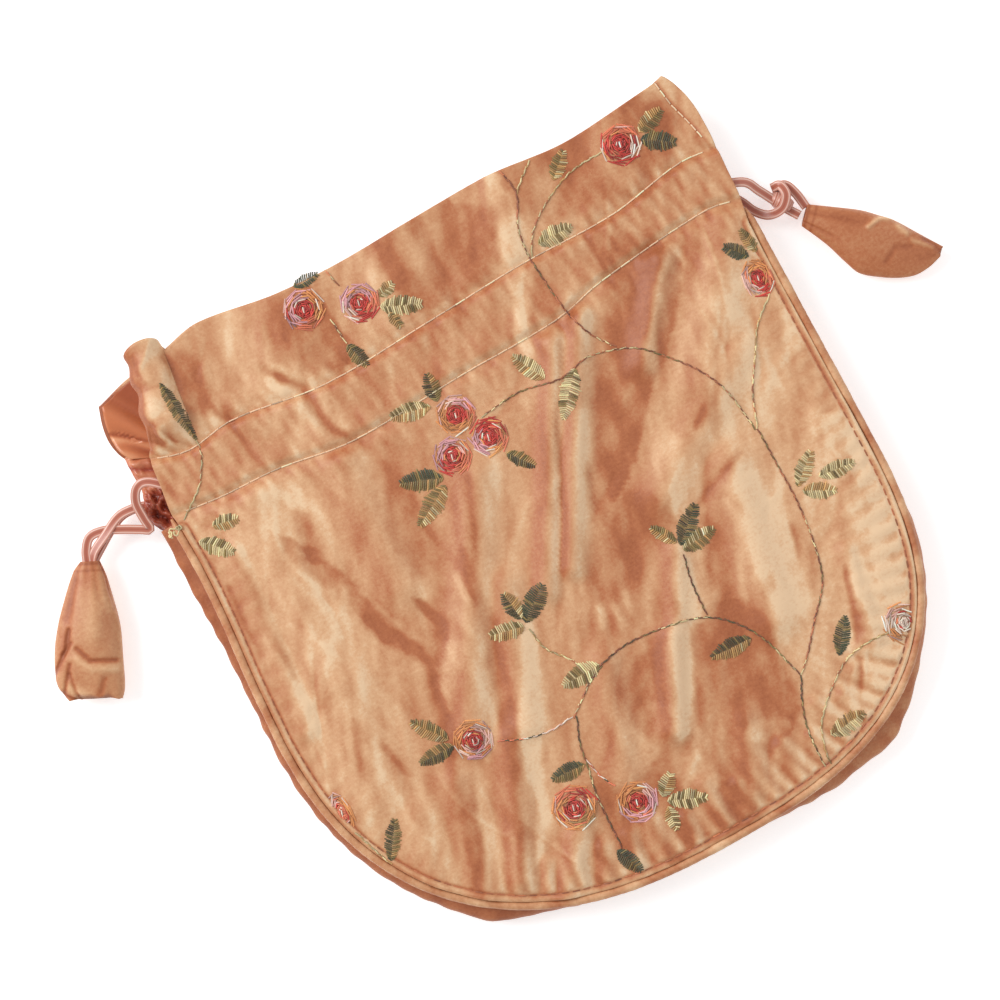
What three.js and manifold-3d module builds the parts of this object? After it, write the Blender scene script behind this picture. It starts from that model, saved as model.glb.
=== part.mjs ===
// A drawstring pouch of shot silk with an embroidered front, lying flat on a table with its front up.
// Millimetres. X runs along the mouth, Y from the rounded bottom up to the mouth, Z up from the table.
// Two silk panels are joined by a narrow gusset, with a piping in each seam, and hold a loose lining.
// Below the ruffled header two rows of stitches make a channel, where two ribbons run round the mouth:
// each leaves the channel at one side, is knotted, and ends in a little folded silk pod.
import * as THREE from "three";
import { mergeVertices } from "three/addons/utils/BufferGeometryUtils.js";
import Module from "manifold-3d";

// The part's origin on the pattern: under the middle of the pouch's outline, on the table
const ORIGIN_X = -1.64;
const ORIGIN_Y = 2.03;

// The body's outline, from seam to seam
const BODY_WIDTH = 157;
const BODY_MIDDLE_X = -1;
const SIDE_TOP_Y = 44.5; // where the side seams, the piping and the gusset end
const CURVE_TOP_Y = -12; // where the sides begin to curve in
const LEFT_SIDE = [
  [-12, -79.5],
  [5, -78.6],
  [20, -77.3],
  [34, -76.7],
  [44.5, -76.9],
]; // the left side leans in towards the mouth: height along the pouch, then X
const CURVE_DEPTH = 70.6; // from there down to the bottom seam
const LEFT_SQUARENESS = 2.35; // exponent of the outline's curve: 2 is an ellipse, more is squarer
const RIGHT_SQUARENESS = 2.75;
const CORNER_ANGLE = 0.28 * Math.PI; // where the front's side ends and its bottom starts, round the curve

// The mouth, as heights along the pouch: front header's edge and the two rows of channel stitches
const FRONT_EDGE = [
  [-60, 84.5],
  [-50, 86.5],
  [-30, 83.5],
  [-10, 83],
  [25, 84.3],
  [48, 82.5],
  [72, 84.5],
  [76, 85.4],
];
const UPPER_STITCH = [
  [-78, 64],
  [-67, 60.6],
  [-54, 62],
  [-30, 58.9],
  [0, 60.3],
  [25, 61.7],
  [50, 61.8],
  [70, 65],
  [80, 64],
];
const LOWER_STITCH = [
  [-78, 48.6],
  [-65, 47.1],
  [-50, 46.5],
  [-31, 43.8],
  [0, 45.2],
  [26, 46],
  [40, 49],
  [70, 52],
  [79, 50.4],
];
const BACK_EDGE = [
  [-81.5, 81],
  [-70, 84],
  [-55, 83.4],
  [0, 82],
  [76, 82.5],
];
const MOUTH_LEFT_X = -77.5; // the front's free edges above the side seams
const MOUTH_RIGHT_X = 79.5;
const HEADER_RIGHT_X = 76; // top right corner of the front header
const HEADER_RIGHT_BOW = 2; // how far its right edge bows out below that
const BACK_HEADER_LEFT_X = -81.6; // the back header lies out past the front one on the left
const BACK_HEADER_SIDE = [
  [-83, 76],
  [-83.5, 71],
  [-82.8, 66],
]; // its left edge, between its top and its foot
const BACK_HEADER_RIGHT_X = 76;

// The front header's left edge, rolled under itself
const ROLL_VALLEY_TOP_X = -60.3;
const ROLL_VALLEY_FOOT_X = -64;
const ROLL_LEFT_TOP_X = -69.2;
const ROLL_LEFT_FOOT_X = -75.6;
const ROLL_HEIGHT = 3.4;
const ROLL_DEPTH = 2.6; // how far its hidden edge hangs down into the mouth
const ROLL_TURN = THREE.MathUtils.degToRad(228);
const ROLL_REACH = 4.4; // how far its crest stands above the header's edge
const ROLL_COLUMNS = 9;

// Cloths, and the room between them
const SILK = 0.5;
const LINING = 0.4;
const GAP = 0.3; // between cloths that lie on each other
const POCKET = 5.4; // height of the empty room inside
const EASE = 0.35; // how much the front stands off its lining between the folds
const SEAM_SETBACK = 0.9; // from the seam in to the lining's edge

// Piping and gusset
const PIPING = 2; // diameter
const GUSSET_SILK = 0.5;
const GUSSET_LINING_TRIM = 0.18; // share of the gusset's width left bare at each edge of its lining
const GUSSET_LEFT_BULGES = [
  [0, 4],
  [0.04, 4.2],
  [0.07, 3.8],
  [0.1, 3],
  [0.14, 2.4],
  [0.18, 2.4],
  [0.22, 2.9],
  [0.34, 3],
  [0.37, 2],
  [0.41, 0.7],
  [0.56, 0.5],
]; // share of the way round the seam, then how far the gusset stands out there
const GUSSET_RIGHT_TUCK = 2.6;
const PLEAT_REACH = 5; // how far the gusset's bunched pleats stand out at the lower right
const PLEAT_COUNT = 4;
const PLEATS_START = 0.56; // as shares of the way round the seam from the left
const PLEATS_END = 0.745;

// Drawstrings
const RIBBON_WIDTH = 2.3;
const RIBBON = 0.6; // thickness
const LANE_Y = 55; // the two ribbons lie side by side along this line through the channel
const LANE_SLOPE = 0.03;
const LANE_GAP = 0.6;
const BEND_ROOM = 5; // from the front's free edge in to the lining's, where the ribbons turn back
const BEND_SETBACK = 1.2; // from the front's free edge in to the outside of a ribbon's bend

// Folds that lie on the front, each a soft ridge from one point to another
const FOLDS = [
  { from: [-9, 22], to: [-40, -32], rise: 1.5, width: 4.6 },
  { from: [-31, -37], to: [-45, -68], rise: 1.4, width: 3.6 },
  { from: [-24, -60], to: [-38, -77], rise: 1.0, width: 3 },
  { from: [23, 42], to: [-7, -10], rise: 1.4, width: 2.8 },
  { from: [31, 44], to: [1, -8], rise: 1.5, width: 2.8 },
  { from: [55, 47], to: [39, 27], rise: 1.3, width: 3.4 },
  { from: [72, 44], to: [50, 16], rise: 1.4, width: 6 },
  { from: [60, 18], to: [28, -3], rise: 1.3, width: 5 },
  { from: [46, -5], to: [38, -42], rise: 1.4, width: 5 },
  { from: [25, -16], to: [17, -31], rise: 1.1, width: 2.8 },
  { from: [14, -34], to: [4, -54], rise: 1.5, width: 3 },
  { from: [-3, -32], to: [-12, -58], rise: 1.1, width: 4 },
  { from: [61, -36], to: [56, -58], rise: 1.0, width: 3 },
  { from: [72, -8], to: [66, -46], rise: 0.8, width: 7 },
  { from: [-60, 42], to: [-61, -5], rise: 0.9, width: 7 },
  { from: [-68, 34], to: [-73, -12], rise: 0.8, width: 2.8 },
  { from: [-36, 40], to: [-37, 8], rise: 1.0, width: 5 },
  { from: [-60, -8], to: [-68, -34], rise: 0.8, width: 7 },
  { from: [-60, -44], to: [-64, -60], rise: 0.7, width: 5 },
  { from: [-48, -40], to: [-55, -68], rise: 0.9, width: 4 },
  { from: [-15, -4], to: [-27, -36], rise: 1.1, width: 4 },
  { from: [20, -60], to: [14, -76], rise: 0.8, width: 3 },
];
const SEAM_GATHERS = 17; // small gathers that the bottom seam pulls into the front
const SEAM_GATHERS_START = 0.36; // as shares of the way round the seam
const SEAM_GATHERS_END = 0.7;
const SEAM_GATHER_LENGTHS = [9, 6, 11, 7, 8];
const SEAM_GATHER_INSET = 2.8; // from the seam in to where a gather starts
const SEAM_GATHER_RISE = 0.7;
const SEAM_GATHER_WIDTH = 1.9;
const CORNER_CREASES = [
  { from: [-81, 80], to: [-72, 66], rise: 1.4, width: 2.2 },
  { from: [-83, 69], to: [-74, 61], rise: 1.1, width: 1.8 },
]; // creases of the back header's corner
const FOLD_SHARING = 0.4; // how much crossing folds add to each other
const FOLD_LIMIT = 2.6;
const STITCH_PINCH = 2; // from a row of stitches to where the cloth stands at its full height
const PUCKER_RISE = 0.5; // gathers along the rows of stitches
const PUCKER_LEAN = 0.35;
const PUCKER_PITCH = 11;
const PUCKER_REACH = 9;
const RUFFLE_RISE = 1.1; // waves of the header
const RUFFLE_PITCH = 31;
const RUFFLE_LEAN = 0.3;

// Pods: from the neck to the end along a straight line, with half widths and half heights
const RIGHT_POD = {
  from: [92.2, 39.9],
  to: [116.2, 16.8],
  halfWidths: [2.2, 5, 6.9, 7.4, 6.9, 4.6, 1.7],
  halfHeights: [1.5, 2.5, 3, 3, 2.6, 1.9, 1.1],
  mouth: 0.5,
};
const LEFT_POD = {
  from: [-102.3, 48.5],
  to: [-116.6, 20.6],
  halfWidths: [2.5, 5.6, 7.4, 8.6, 9, 8.2, 5.6],
  halfHeights: [1.6, 3, 3.9, 4.2, 4, 3.5, 2.6],
  mouth: 0.72,
};
const POD_SIDES = 14;
const POD_MOUTH_DEPTH = 4;
const TABLE_CLEARANCE = 0.3;

// Heights of the cloths above the table, worked out from their thicknesses
const BACK_LINING_Z = SILK + GAP;
const CHANNEL_ROOM = GAP + RIBBON + GAP;
const BACK_CHANNEL_LINING_Z = SILK + CHANNEL_ROOM;
const FRONT_LINING_Z = BACK_CHANNEL_LINING_Z + LINING + POCKET;
const FRONT_Z = FRONT_LINING_Z + LINING + GAP;
const FRONT_CHANNEL_Z = FRONT_LINING_Z + LINING + CHANNEL_ROOM;
const FRONT_RIBBON_Z = FRONT_LINING_Z + LINING + GAP + RIBBON / 2;
const BACK_RIBBON_Z = SILK + GAP + RIBBON / 2;
const FRONT_PIPING_Z = FRONT_Z + SILK / 2;
const BACK_PIPING_Z = PIPING / 2 + GAP / 2;

const { clamp, lerp, smoothstep } = THREE.MathUtils;
const wasm = await Module();
wasm.setup();

// A smooth height along X through a few chosen points, level past the ends
function through(points) {
  const slope = (i) => {
    const a = points[Math.max(i - 1, 0)];
    const b = points[Math.min(i + 1, points.length - 1)];
    return (b[1] - a[1]) / (b[0] - a[0]);
  };
  return (x) => {
    const at = clamp(x, points[0][0], points[points.length - 1][0]);
    let i = 0;
    while (i < points.length - 2 && at > points[i + 1][0]) i += 1;
    const [x0, y0] = points[i];
    const [x1, y1] = points[i + 1];
    const span = x1 - x0;
    const t = (at - x0) / span;
    const t2 = t * t;
    const t3 = t2 * t;
    return (
      y0 * (2 * t3 - 3 * t2 + 1) +
      y1 * (3 * t2 - 2 * t3) +
      slope(i) * span * (t3 - 2 * t2 + t) +
      slope(i + 1) * span * (t3 - t2)
    );
  };
}

const frontEdgeY = through(FRONT_EDGE);
const upperStitchY = through(UPPER_STITCH);
const lowerStitchY = through(LOWER_STITCH);
const backEdgeY = through(BACK_EDGE);
const leftSideX = through(LEFT_SIDE);
const laneY = (x) => LANE_Y + LANE_SLOPE * x;

// The seam's curve round the bottom: angle 0 is the left side, half a turn the right side
function curvePoint(angle, outward = 0) {
  const squareness = angle < Math.PI / 2 ? LEFT_SQUARENESS : RIGHT_SQUARENESS;
  const across = -Math.cos(angle);
  const down = Math.sin(angle);
  const acrossShare = Math.sign(across) * Math.abs(across) ** (2 / squareness);
  const downShare = down ** (2 / squareness);
  const x = BODY_MIDDLE_X + (BODY_WIDTH / 2 + outward) * acrossShare;
  return new THREE.Vector2(x, CURVE_TOP_Y - (CURVE_DEPTH + outward) * downShare);
}

// Evenly spaced points along a line of points
function evenly(points, count) {
  const lengths = [0];
  points.slice(1).forEach((p, i) => lengths.push(lengths[i] + p.distanceTo(points[i])));
  const total = lengths[lengths.length - 1];
  const even = [];
  let k = 0;
  for (let i = 0; i <= count; i += 1) {
    const at = (total * i) / count;
    while (k < points.length - 2 && lengths[k + 1] < at) k += 1;
    const share = (at - lengths[k]) / (lengths[k + 1] - lengths[k]);
    even.push(points[k].clone().lerp(points[k + 1], share));
  }
  return even;
}

const CURVE_SAMPLES = 400;
function curveBetween(start, end, outward = 0) {
  const points = [];
  for (let i = 0; i <= CURVE_SAMPLES; i += 1) {
    points.push(curvePoint(lerp(start, end, i / CURVE_SAMPLES), outward));
  }
  return points;
}

// The left side, from a height down to where the curve starts
const LEFT_SIDE_STEPS = 12;
function leftSide(topY, outward = 0) {
  const points = [];
  for (let i = 0; i < LEFT_SIDE_STEPS; i += 1) {
    const y = lerp(topY, CURVE_TOP_Y, i / LEFT_SIDE_STEPS);
    points.push(new THREE.Vector2(leftSideX(y) - outward, y));
  }
  return points;
}

// The whole seam, from the left side's top round the bottom to the right side's top
function seam(count, topY = SIDE_TOP_Y, outward = 0) {
  const curve = curveBetween(0, Math.PI, outward);
  const right = new THREE.Vector2(curve[CURVE_SAMPLES].x, topY);
  return evenly([...leftSide(topY, outward), ...curve, right], count);
}

// Which way is out of the pouch, at each point of a line that runs round it
function outwardNormals(points) {
  return points.map((p, i) => {
    const along = points[Math.min(i + 1, points.length - 1)].clone().sub(points[Math.max(i - 1, 0)]);
    return new THREE.Vector2(along.y, -along.x).normalize();
  });
}

// A closed surface from triangles given as corner numbers
function closedSurface(points, triangles) {
  const geometry = new THREE.BufferGeometry().setFromPoints(points);
  geometry.setIndex(triangles);
  geometry.computeVertexNormals();
  return geometry;
}

// A cloth from rows of points on its middle surface, each row from left to right and the first row at the top
function cloth(rows, thickness) {
  const columns = rows[0].length;
  const point = (r, c) => rows[clamp(r, 0, rows.length - 1)][clamp(c, 0, columns - 1)];
  const faces = [[], []];
  rows.forEach((row, r) =>
    row.forEach((p, c) => {
      const right = point(r, c + 1).clone().sub(point(r, c - 1));
      const up = point(r - 1, c).clone().sub(point(r + 1, c));
      const normal = right.cross(up).setLength(thickness / 2);
      faces[0].push(p.clone().add(normal));
      faces[1].push(p.clone().sub(normal));
    }),
  );
  const under = faces[0].length;
  const triangles = [];
  const quad = (a, b, c, d) => triangles.push(a, b, c, a, c, d);
  for (let r = 0; r < rows.length - 1; r += 1) {
    for (let c = 0; c < columns - 1; c += 1) {
      const a = r * columns + c;
      quad(a, a + columns, a + columns + 1, a + 1);
      quad(under + a, under + a + 1, under + a + columns + 1, under + a + columns);
    }
  }
  const last = (rows.length - 1) * columns;
  for (let c = 0; c < columns - 1; c += 1) {
    quad(c, c + 1, under + c + 1, under + c);
    quad(last + c + 1, last + c, under + last + c, under + last + c + 1);
  }
  for (let r = 0; r < rows.length - 1; r += 1) {
    const a = r * columns;
    const b = a + columns - 1;
    quad(a + columns, a, under + a, under + a + columns);
    quad(b, b + columns, under + b + columns, under + b);
  }
  return closedSurface([...faces[0], ...faces[1]], triangles);
}

// A solid skinned over rings of points, with both ends closed across the ring, from its first points to its last
function skin(rings) {
  const sides = rings[0].length;
  const triangles = [];
  for (let r = 0; r < rings.length - 1; r += 1) {
    for (let s = 0; s < sides; s += 1) {
      const a = r * sides + s;
      const b = r * sides + ((s + 1) % sides);
      triangles.push(a, b, b + sides, a, b + sides, a + sides);
    }
  }
  [0, rings.length - 1].forEach((r) => {
    for (let s = 0; s < sides / 2 - 1; s += 1) {
      const [a, b, c, d] = [s, s + 1, sides - 2 - s, sides - 1 - s].map((k) => r * sides + k);
      triangles.push(...(r === 0 ? [a, c, b, a, d, c] : [a, b, c, a, c, d]));
    }
  });
  return closedSurface(rings.flat(), triangles);
}

// A flat cloth cut to an outline
function flatCloth(outline, thickness, z) {
  const shape = new THREE.Shape(outline);
  return new THREE.ExtrudeGeometry(shape, { depth: thickness, bevelEnabled: false }).translate(0, 0, z);
}

// How far a soft ridge along a line lifts the cloth at a place
function ridgeLift(here, { from, to, rise, width }) {
  const start = new THREE.Vector2(...from);
  const along = new THREE.Vector2(...to).sub(start);
  const t = clamp(here.clone().sub(start).dot(along) / along.lengthSq(), 0, 1);
  const away = here.distanceTo(start.addScaledVector(along, t)) / width;
  return rise * Math.exp(-away * away);
}

// Gathers along the bottom seam, each a short ridge that starts at the seam and points into the front
function seamGathers() {
  const steps = 400;
  const line = seam(steps);
  const out = outwardNormals(line);
  const ridges = [];
  for (let k = 0; k < SEAM_GATHERS; k += 1) {
    const i = Math.round(steps * lerp(SEAM_GATHERS_START, SEAM_GATHERS_END, k / (SEAM_GATHERS - 1)));
    const length = SEAM_GATHER_LENGTHS[k % SEAM_GATHER_LENGTHS.length];
    const inward = (distance) => line[i].clone().addScaledVector(out[i], -distance).toArray();
    const to = inward(SEAM_GATHER_INSET + length);
    ridges.push({ from: inward(SEAM_GATHER_INSET), to, rise: SEAM_GATHER_RISE, width: SEAM_GATHER_WIDTH });
  }
  return ridges;
}
const ALL_FOLDS = [...FOLDS, ...seamGathers()];

// The body's folds: where two cross, the higher one shows and the other adds a little
function foldLift(x, y) {
  const here = new THREE.Vector2(x, y);
  const ridges = ALL_FOLDS.map((fold) => ridgeLift(here, fold));
  const sum = ridges.reduce((total, ridge) => total + ridge, 0);
  const below = 1 - smoothstep(y, lowerStitchY(x) - 3, lowerStitchY(x));
  return below * Math.min(Math.max(...ridges) + FOLD_SHARING * sum, FOLD_LIMIT);
}

// Gathers across a row of stitches, none at the stitches themselves
function puckerLift(x, y, stitchY) {
  const away = Math.abs(y - stitchY);
  const fade = smoothstep(away, 0, STITCH_PINCH) * (1 - smoothstep(away, STITCH_PINCH, PUCKER_REACH));
  const wave = 0.5 + 0.5 * Math.sin((2 * Math.PI * (x + PUCKER_LEAN * y)) / PUCKER_PITCH);
  return fade * PUCKER_RISE * wave;
}

// The header's long waves, which grow towards its edge
function ruffleLift(x, y) {
  const share = smoothstep(y, upperStitchY(x), upperStitchY(x) + 12);
  return share * RUFFLE_RISE * (0.5 + 0.5 * Math.sin((2 * Math.PI * (x - RUFFLE_LEAN * y)) / RUFFLE_PITCH));
}

// How far the channel's cloth stands up over the ribbons, from one row of stitches to the other
function channelLift(x, y) {
  const edge = Math.min(upperStitchY(x) - y, y - lowerStitchY(x));
  return (FRONT_CHANNEL_Z - FRONT_Z) * smoothstep(edge, 0, STITCH_PINCH);
}

// The height of the front's middle surface
function frontHeight(x, y) {
  const upper = upperStitchY(x);
  const lower = lowerStitchY(x);
  const outsideChannel = Math.max(y - upper, lower - y);
  const ease = EASE * smoothstep(outsideChannel, 0, 2 * STITCH_PINCH);
  const gathers = puckerLift(x, y, upper) + puckerLift(x, y, lower);
  return FRONT_Z + SILK / 2 + channelLift(x, y) + foldLift(x, y) + gathers + ruffleLift(x, y) + ease;
}

// The front panel: header, channel and body in one cloth
const COLUMNS = 56;
const HEADER_ROWS = 6;
const BODY_ROWS = 17;
const CHANNEL_SHARES = [0.14, 0.5, 0.86];

// Where the columns of a mouth row lie, with the rolled edge's columns closer together
function mouthRow(leftX, rightX, valleyX, heightAt) {
  const row = [];
  for (let c = 0; c <= COLUMNS; c += 1) {
    const rolled = c / ROLL_COLUMNS;
    const flat = (c - ROLL_COLUMNS) / (COLUMNS - ROLL_COLUMNS);
    const x = rolled < 1 ? lerp(leftX, valleyX, rolled) : lerp(valleyX, rightX, flat);
    row.push(new THREE.Vector2(x, heightAt(x)));
  }
  return row;
}

function frontPanel() {
  const rows = [];
  const plan = (points) => points.map((p) => new THREE.Vector3(p.x, p.y, frontHeight(p.x, p.y)));
  const upper = mouthRow(MOUTH_LEFT_X, MOUTH_RIGHT_X, ROLL_VALLEY_FOOT_X, upperStitchY);
  const lower = mouthRow(MOUTH_LEFT_X, MOUTH_RIGHT_X - 0.6, ROLL_VALLEY_FOOT_X, lowerStitchY);
  const edge = mouthRow(MOUTH_LEFT_X, HEADER_RIGHT_X, ROLL_VALLEY_TOP_X, frontEdgeY);
  for (let r = 0; r < HEADER_ROWS; r += 1) {
    const share = r / HEADER_ROWS;
    const bow = HEADER_RIGHT_BOW * Math.sin(Math.PI * share ** 0.75);
    const bowed = (p, c) => p.setX(p.x + bow * smoothstep(c / COLUMNS, 0.86, 1));
    const row = plan(edge.map((p, c) => bowed(p.clone().lerp(upper[c], share), c)));
    rows.push(rolledEdge(row, 1 - share));
  }
  rows.push(plan(upper));
  CHANNEL_SHARES.forEach((share) => rows.push(plan(upper.map((p, c) => p.clone().lerp(lower[c], share)))));
  rows.push(plan(lower));
  bodyRows(lower).forEach((row) => rows.push(plan(row)));
  return cloth(rows, SILK);
}

// Turns the left end of a header row over its crest and under itself, fully at the top and not at the foot
function rolledEdge(row, height) {
  const turned = smoothstep(height, 0, 0.45);
  const valley = row[ROLL_COLUMNS];
  const leftX = lerp(ROLL_LEFT_FOOT_X, ROLL_LEFT_TOP_X, height);
  const halfWidth = (valley.x - leftX) / 2;
  return row.map((p, c) => {
    if (c >= ROLL_COLUMNS) return p;
    const angle = ROLL_TURN * (1 - c / ROLL_COLUMNS);
    const up = Math.sin(angle);
    const rolled = new THREE.Vector3(
      valley.x - halfWidth + halfWidth * Math.cos(angle),
      valley.y + ROLL_REACH * height * Math.max(up, 0.35 * (1 - c / ROLL_COLUMNS)),
      valley.z + (up > 0 ? ROLL_HEIGHT : ROLL_DEPTH) * up,
    );
    return p.clone().lerp(rolled, turned);
  });
}

// Rows of the body from the lower stitches to the bottom seam, blended between its four edges
function bodyRows(top) {
  const corners = [CORNER_ANGLE, Math.PI - CORNER_ANGLE];
  const rightTop = new THREE.Vector2(curvePoint(Math.PI).x, SIDE_TOP_Y);
  const left = evenly([top[0], ...leftSide(SIDE_TOP_Y), ...curveBetween(0, corners[0])], BODY_ROWS);
  const right = evenly([top[COLUMNS], rightTop, ...curveBetween(Math.PI, corners[1])], BODY_ROWS);
  const bottom = evenly(curveBetween(corners[0], corners[1]), COLUMNS);
  const rows = [];
  for (let r = 1; r <= BODY_ROWS; r += 1) {
    const v = r / BODY_ROWS;
    rows.push(
      top.map((p, c) => {
        const u = c / COLUMNS;
        const sides = left[r].clone().lerp(right[r], u);
        const ends = p.clone().lerp(bottom[c], v);
        const topLine = top[0].clone().lerp(top[COLUMNS], u);
        const bottomLine = bottom[0].clone().lerp(bottom[COLUMNS], u);
        return sides.add(ends).sub(topLine.lerp(bottomLine, v));
      }),
    );
  }
  return rows;
}

// Outline of a lining or of the back, from the header's top right corner over the left side and round the bottom
function clothOutline({ edgeY, headerLeft, headerSide = [], headerRight, mouthLeft, mouthRight, setback }) {
  const topPoints = [];
  const steps = 12;
  for (let i = 0; i <= steps; i += 1) {
    const x = lerp(headerRight, headerLeft, i / steps);
    topPoints.push(new THREE.Vector2(x, edgeY(x) - setback));
  }
  return [
    ...topPoints,
    ...headerSide.map(([x, y]) => new THREE.Vector2(x + setback, y)),
    new THREE.Vector2(headerLeft, upperStitchY(headerLeft) + 1),
    new THREE.Vector2(mouthLeft, upperStitchY(mouthLeft)),
    new THREE.Vector2(mouthLeft, lowerStitchY(mouthLeft)),
    ...seam(64, SIDE_TOP_Y, -setback),
    new THREE.Vector2(mouthRight, lowerStitchY(mouthRight)),
    new THREE.Vector2(mouthRight, upperStitchY(mouthRight)),
    new THREE.Vector2(headerRight, upperStitchY(headerRight) + 1),
  ];
}

function frontLining() {
  const outline = clothOutline({
    edgeY: frontEdgeY,
    headerLeft: ROLL_VALLEY_FOOT_X + 4,
    headerRight: HEADER_RIGHT_X - SEAM_SETBACK,
    mouthLeft: MOUTH_LEFT_X + BEND_ROOM,
    mouthRight: MOUTH_RIGHT_X - BEND_ROOM,
    setback: SEAM_SETBACK,
  });
  return flatCloth(outline, LINING, FRONT_LINING_Z);
}

function backPanel() {
  const outline = clothOutline({
    edgeY: backEdgeY,
    headerLeft: BACK_HEADER_LEFT_X,
    headerSide: BACK_HEADER_SIDE,
    headerRight: BACK_HEADER_RIGHT_X,
    mouthLeft: MOUTH_LEFT_X,
    mouthRight: MOUTH_RIGHT_X - 2,
    setback: 0,
  });
  return flatCloth(outline, SILK, 0);
}

// The creases of the back header's corner, which shows beside the rolled edge
function creaseLift(x, y) {
  const here = new THREE.Vector2(x, y);
  return Math.max(...CORNER_CREASES.map((crease) => ridgeLift(here, crease)));
}

// The back lining lies on the back, and stands up over the ribbons in the back channel
const BACK_COLUMNS = 26;
const BACK_CROWDING = 1.6; // its columns lie closer together towards the creased corner
function backLining() {
  const rows = [];
  const row = (leftX, rightX, heightAt, z) => {
    const points = [];
    for (let c = 0; c <= BACK_COLUMNS; c += 1) {
      const x = lerp(leftX, rightX, (c / BACK_COLUMNS) ** BACK_CROWDING);
      const y = heightAt(x);
      points.push(new THREE.Vector3(x, y, z + LINING / 2 + creaseLift(x, y)));
    }
    rows.push(points);
  };
  const low = BACK_LINING_Z;
  const high = BACK_CHANNEL_LINING_Z;
  const headerLeft = BACK_HEADER_LEFT_X + SEAM_SETBACK;
  const headerRight = BACK_HEADER_RIGHT_X - SEAM_SETBACK;
  const mouthLeft = MOUTH_LEFT_X + BEND_ROOM;
  const mouthRight = MOUTH_RIGHT_X - BEND_ROOM;
  const foot = (x) => upperStitchY(x) + 3;
  const headerLefts = [headerLeft, ...BACK_HEADER_SIDE.map(([x]) => x + SEAM_SETBACK), headerLeft];
  const headerShares = [0, 0.3, 0.58, 0.84, 1];
  headerLefts.forEach((left, r) => {
    row(left, headerRight, (x) => lerp(backEdgeY(x) - SEAM_SETBACK, foot(x), headerShares[r]), low);
  });
  row(mouthLeft, mouthRight, (x) => upperStitchY(x), low);
  row(mouthLeft, mouthRight, (x) => upperStitchY(x) - 1.6, high);
  row(mouthLeft, mouthRight, (x) => lowerStitchY(x) + 1.6, high);
  row(mouthLeft, mouthRight, (x) => lowerStitchY(x), low);
  const corners = [CORNER_ANGLE, Math.PI - CORNER_ANGLE];
  const topY = SIDE_TOP_Y - 2;
  const rightTop = new THREE.Vector2(curvePoint(Math.PI, -SEAM_SETBACK).x, topY);
  const count = 8;
  const curve = (start, end) => curveBetween(start, end, -SEAM_SETBACK);
  const left = evenly([...leftSide(topY, -SEAM_SETBACK), ...curve(0, corners[0])], count);
  const right = evenly([rightTop, ...curve(Math.PI, corners[1])], count);
  const bottom = evenly(curve(corners[0], corners[1]), BACK_COLUMNS);
  for (let r = 0; r <= count; r += 1) {
    const v = r / count;
    const points = bottom.map((p, c) => {
      const u = c / BACK_COLUMNS;
      const sides = left[r].clone().lerp(right[r], u);
      const bow = p.clone().sub(bottom[0].clone().lerp(bottom[BACK_COLUMNS], u)).multiplyScalar(v);
      return new THREE.Vector3(sides.x + bow.x, sides.y + bow.y, low + LINING / 2);
    });
    rows.push(points);
  }
  return cloth(rows, LINING);
}

// A strip or a cord swept round the seam: ringAt gives its section as (outward, height) pairs
const SEAM_STEPS = 56;
function roundTheSeam(ringAt, topY = SIDE_TOP_Y) {
  const line = seam(SEAM_STEPS, topY);
  const out = outwardNormals(line);
  const rings = line.map((p, i) =>
    ringAt(i / SEAM_STEPS).map(([n, z]) => new THREE.Vector3(p.x + out[i].x * n, p.y + out[i].y * n, z)),
  );
  return skin(rings);
}

function piping(z) {
  const sides = 8;
  const section = [];
  for (let s = 0; s < sides; s += 1) {
    const angle = (2 * Math.PI * (s + 0.5)) / sides;
    section.push([GAP + PIPING / 2 + (PIPING / 2) * Math.cos(angle), z + (PIPING / 2) * Math.sin(angle)]);
  }
  return roundTheSeam(() => section.slice().reverse());
}

const gussetLeftBulge = through(GUSSET_LEFT_BULGES);

// How far the gusset's middle stands out past its edges, at a share of the way round the seam:
// out on the left, bunched in pleats at the lower right, and tucked in on the right
function gussetBulge(share) {
  const rising = smoothstep(share, PLEATS_START, PLEATS_START + 0.09);
  const pleats = rising * (1 - smoothstep(share, PLEATS_END - 0.06, PLEATS_END));
  const turns = (PLEAT_COUNT * (share - PLEATS_START)) / (PLEATS_END - PLEATS_START);
  const wave = 0.84 + 0.16 * Math.cos(2 * Math.PI * turns);
  const left = gussetLeftBulge(share) * (1 - smoothstep(share, PLEATS_END, PLEATS_END + 0.06));
  const right = -GUSSET_RIGHT_TUCK * smoothstep(share, PLEATS_END + 0.01, PLEATS_END + 0.09);
  return left + right + pleats * wave * PLEAT_REACH;
}

const GUSSET_EDGE = GAP + PIPING / 2; // the gusset's edges lie under and over the middle of the pipings
const GUSSET_LOW_Z = BACK_PIPING_Z + PIPING / 2 + GAP + GUSSET_SILK / 2;
const GUSSET_HIGH_Z = FRONT_PIPING_Z - PIPING / 2 - GAP - GUSSET_SILK / 2;

// The section of a cloth that follows the gusset's middle line at a distance, bowed out by a bulge
function bowedSection(bulge, distance, trim) {
  const across = 4;
  const rise = GUSSET_HIGH_Z - GUSSET_LOW_Z;
  const points = [];
  for (let i = 0; i <= across; i += 1) {
    const w = lerp(trim, 1 - trim, i / across);
    const slope = (4 * bulge * (1 - 2 * w)) / rise;
    const reach = distance / Math.hypot(1, slope);
    points.push([GUSSET_EDGE + 4 * bulge * w * (1 - w) + reach, GUSSET_LOW_Z + rise * w - reach * slope]);
  }
  return points;
}

function strip(bulgeAt, distance, thickness, trim = 0) {
  return roundTheSeam((share) => {
    const bulge = bulgeAt(share);
    const inner = bowedSection(bulge, distance - thickness / 2, trim);
    const outer = bowedSection(bulge, distance + thickness / 2, trim);
    return [...inner, ...outer.reverse()];
  });
}

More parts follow.
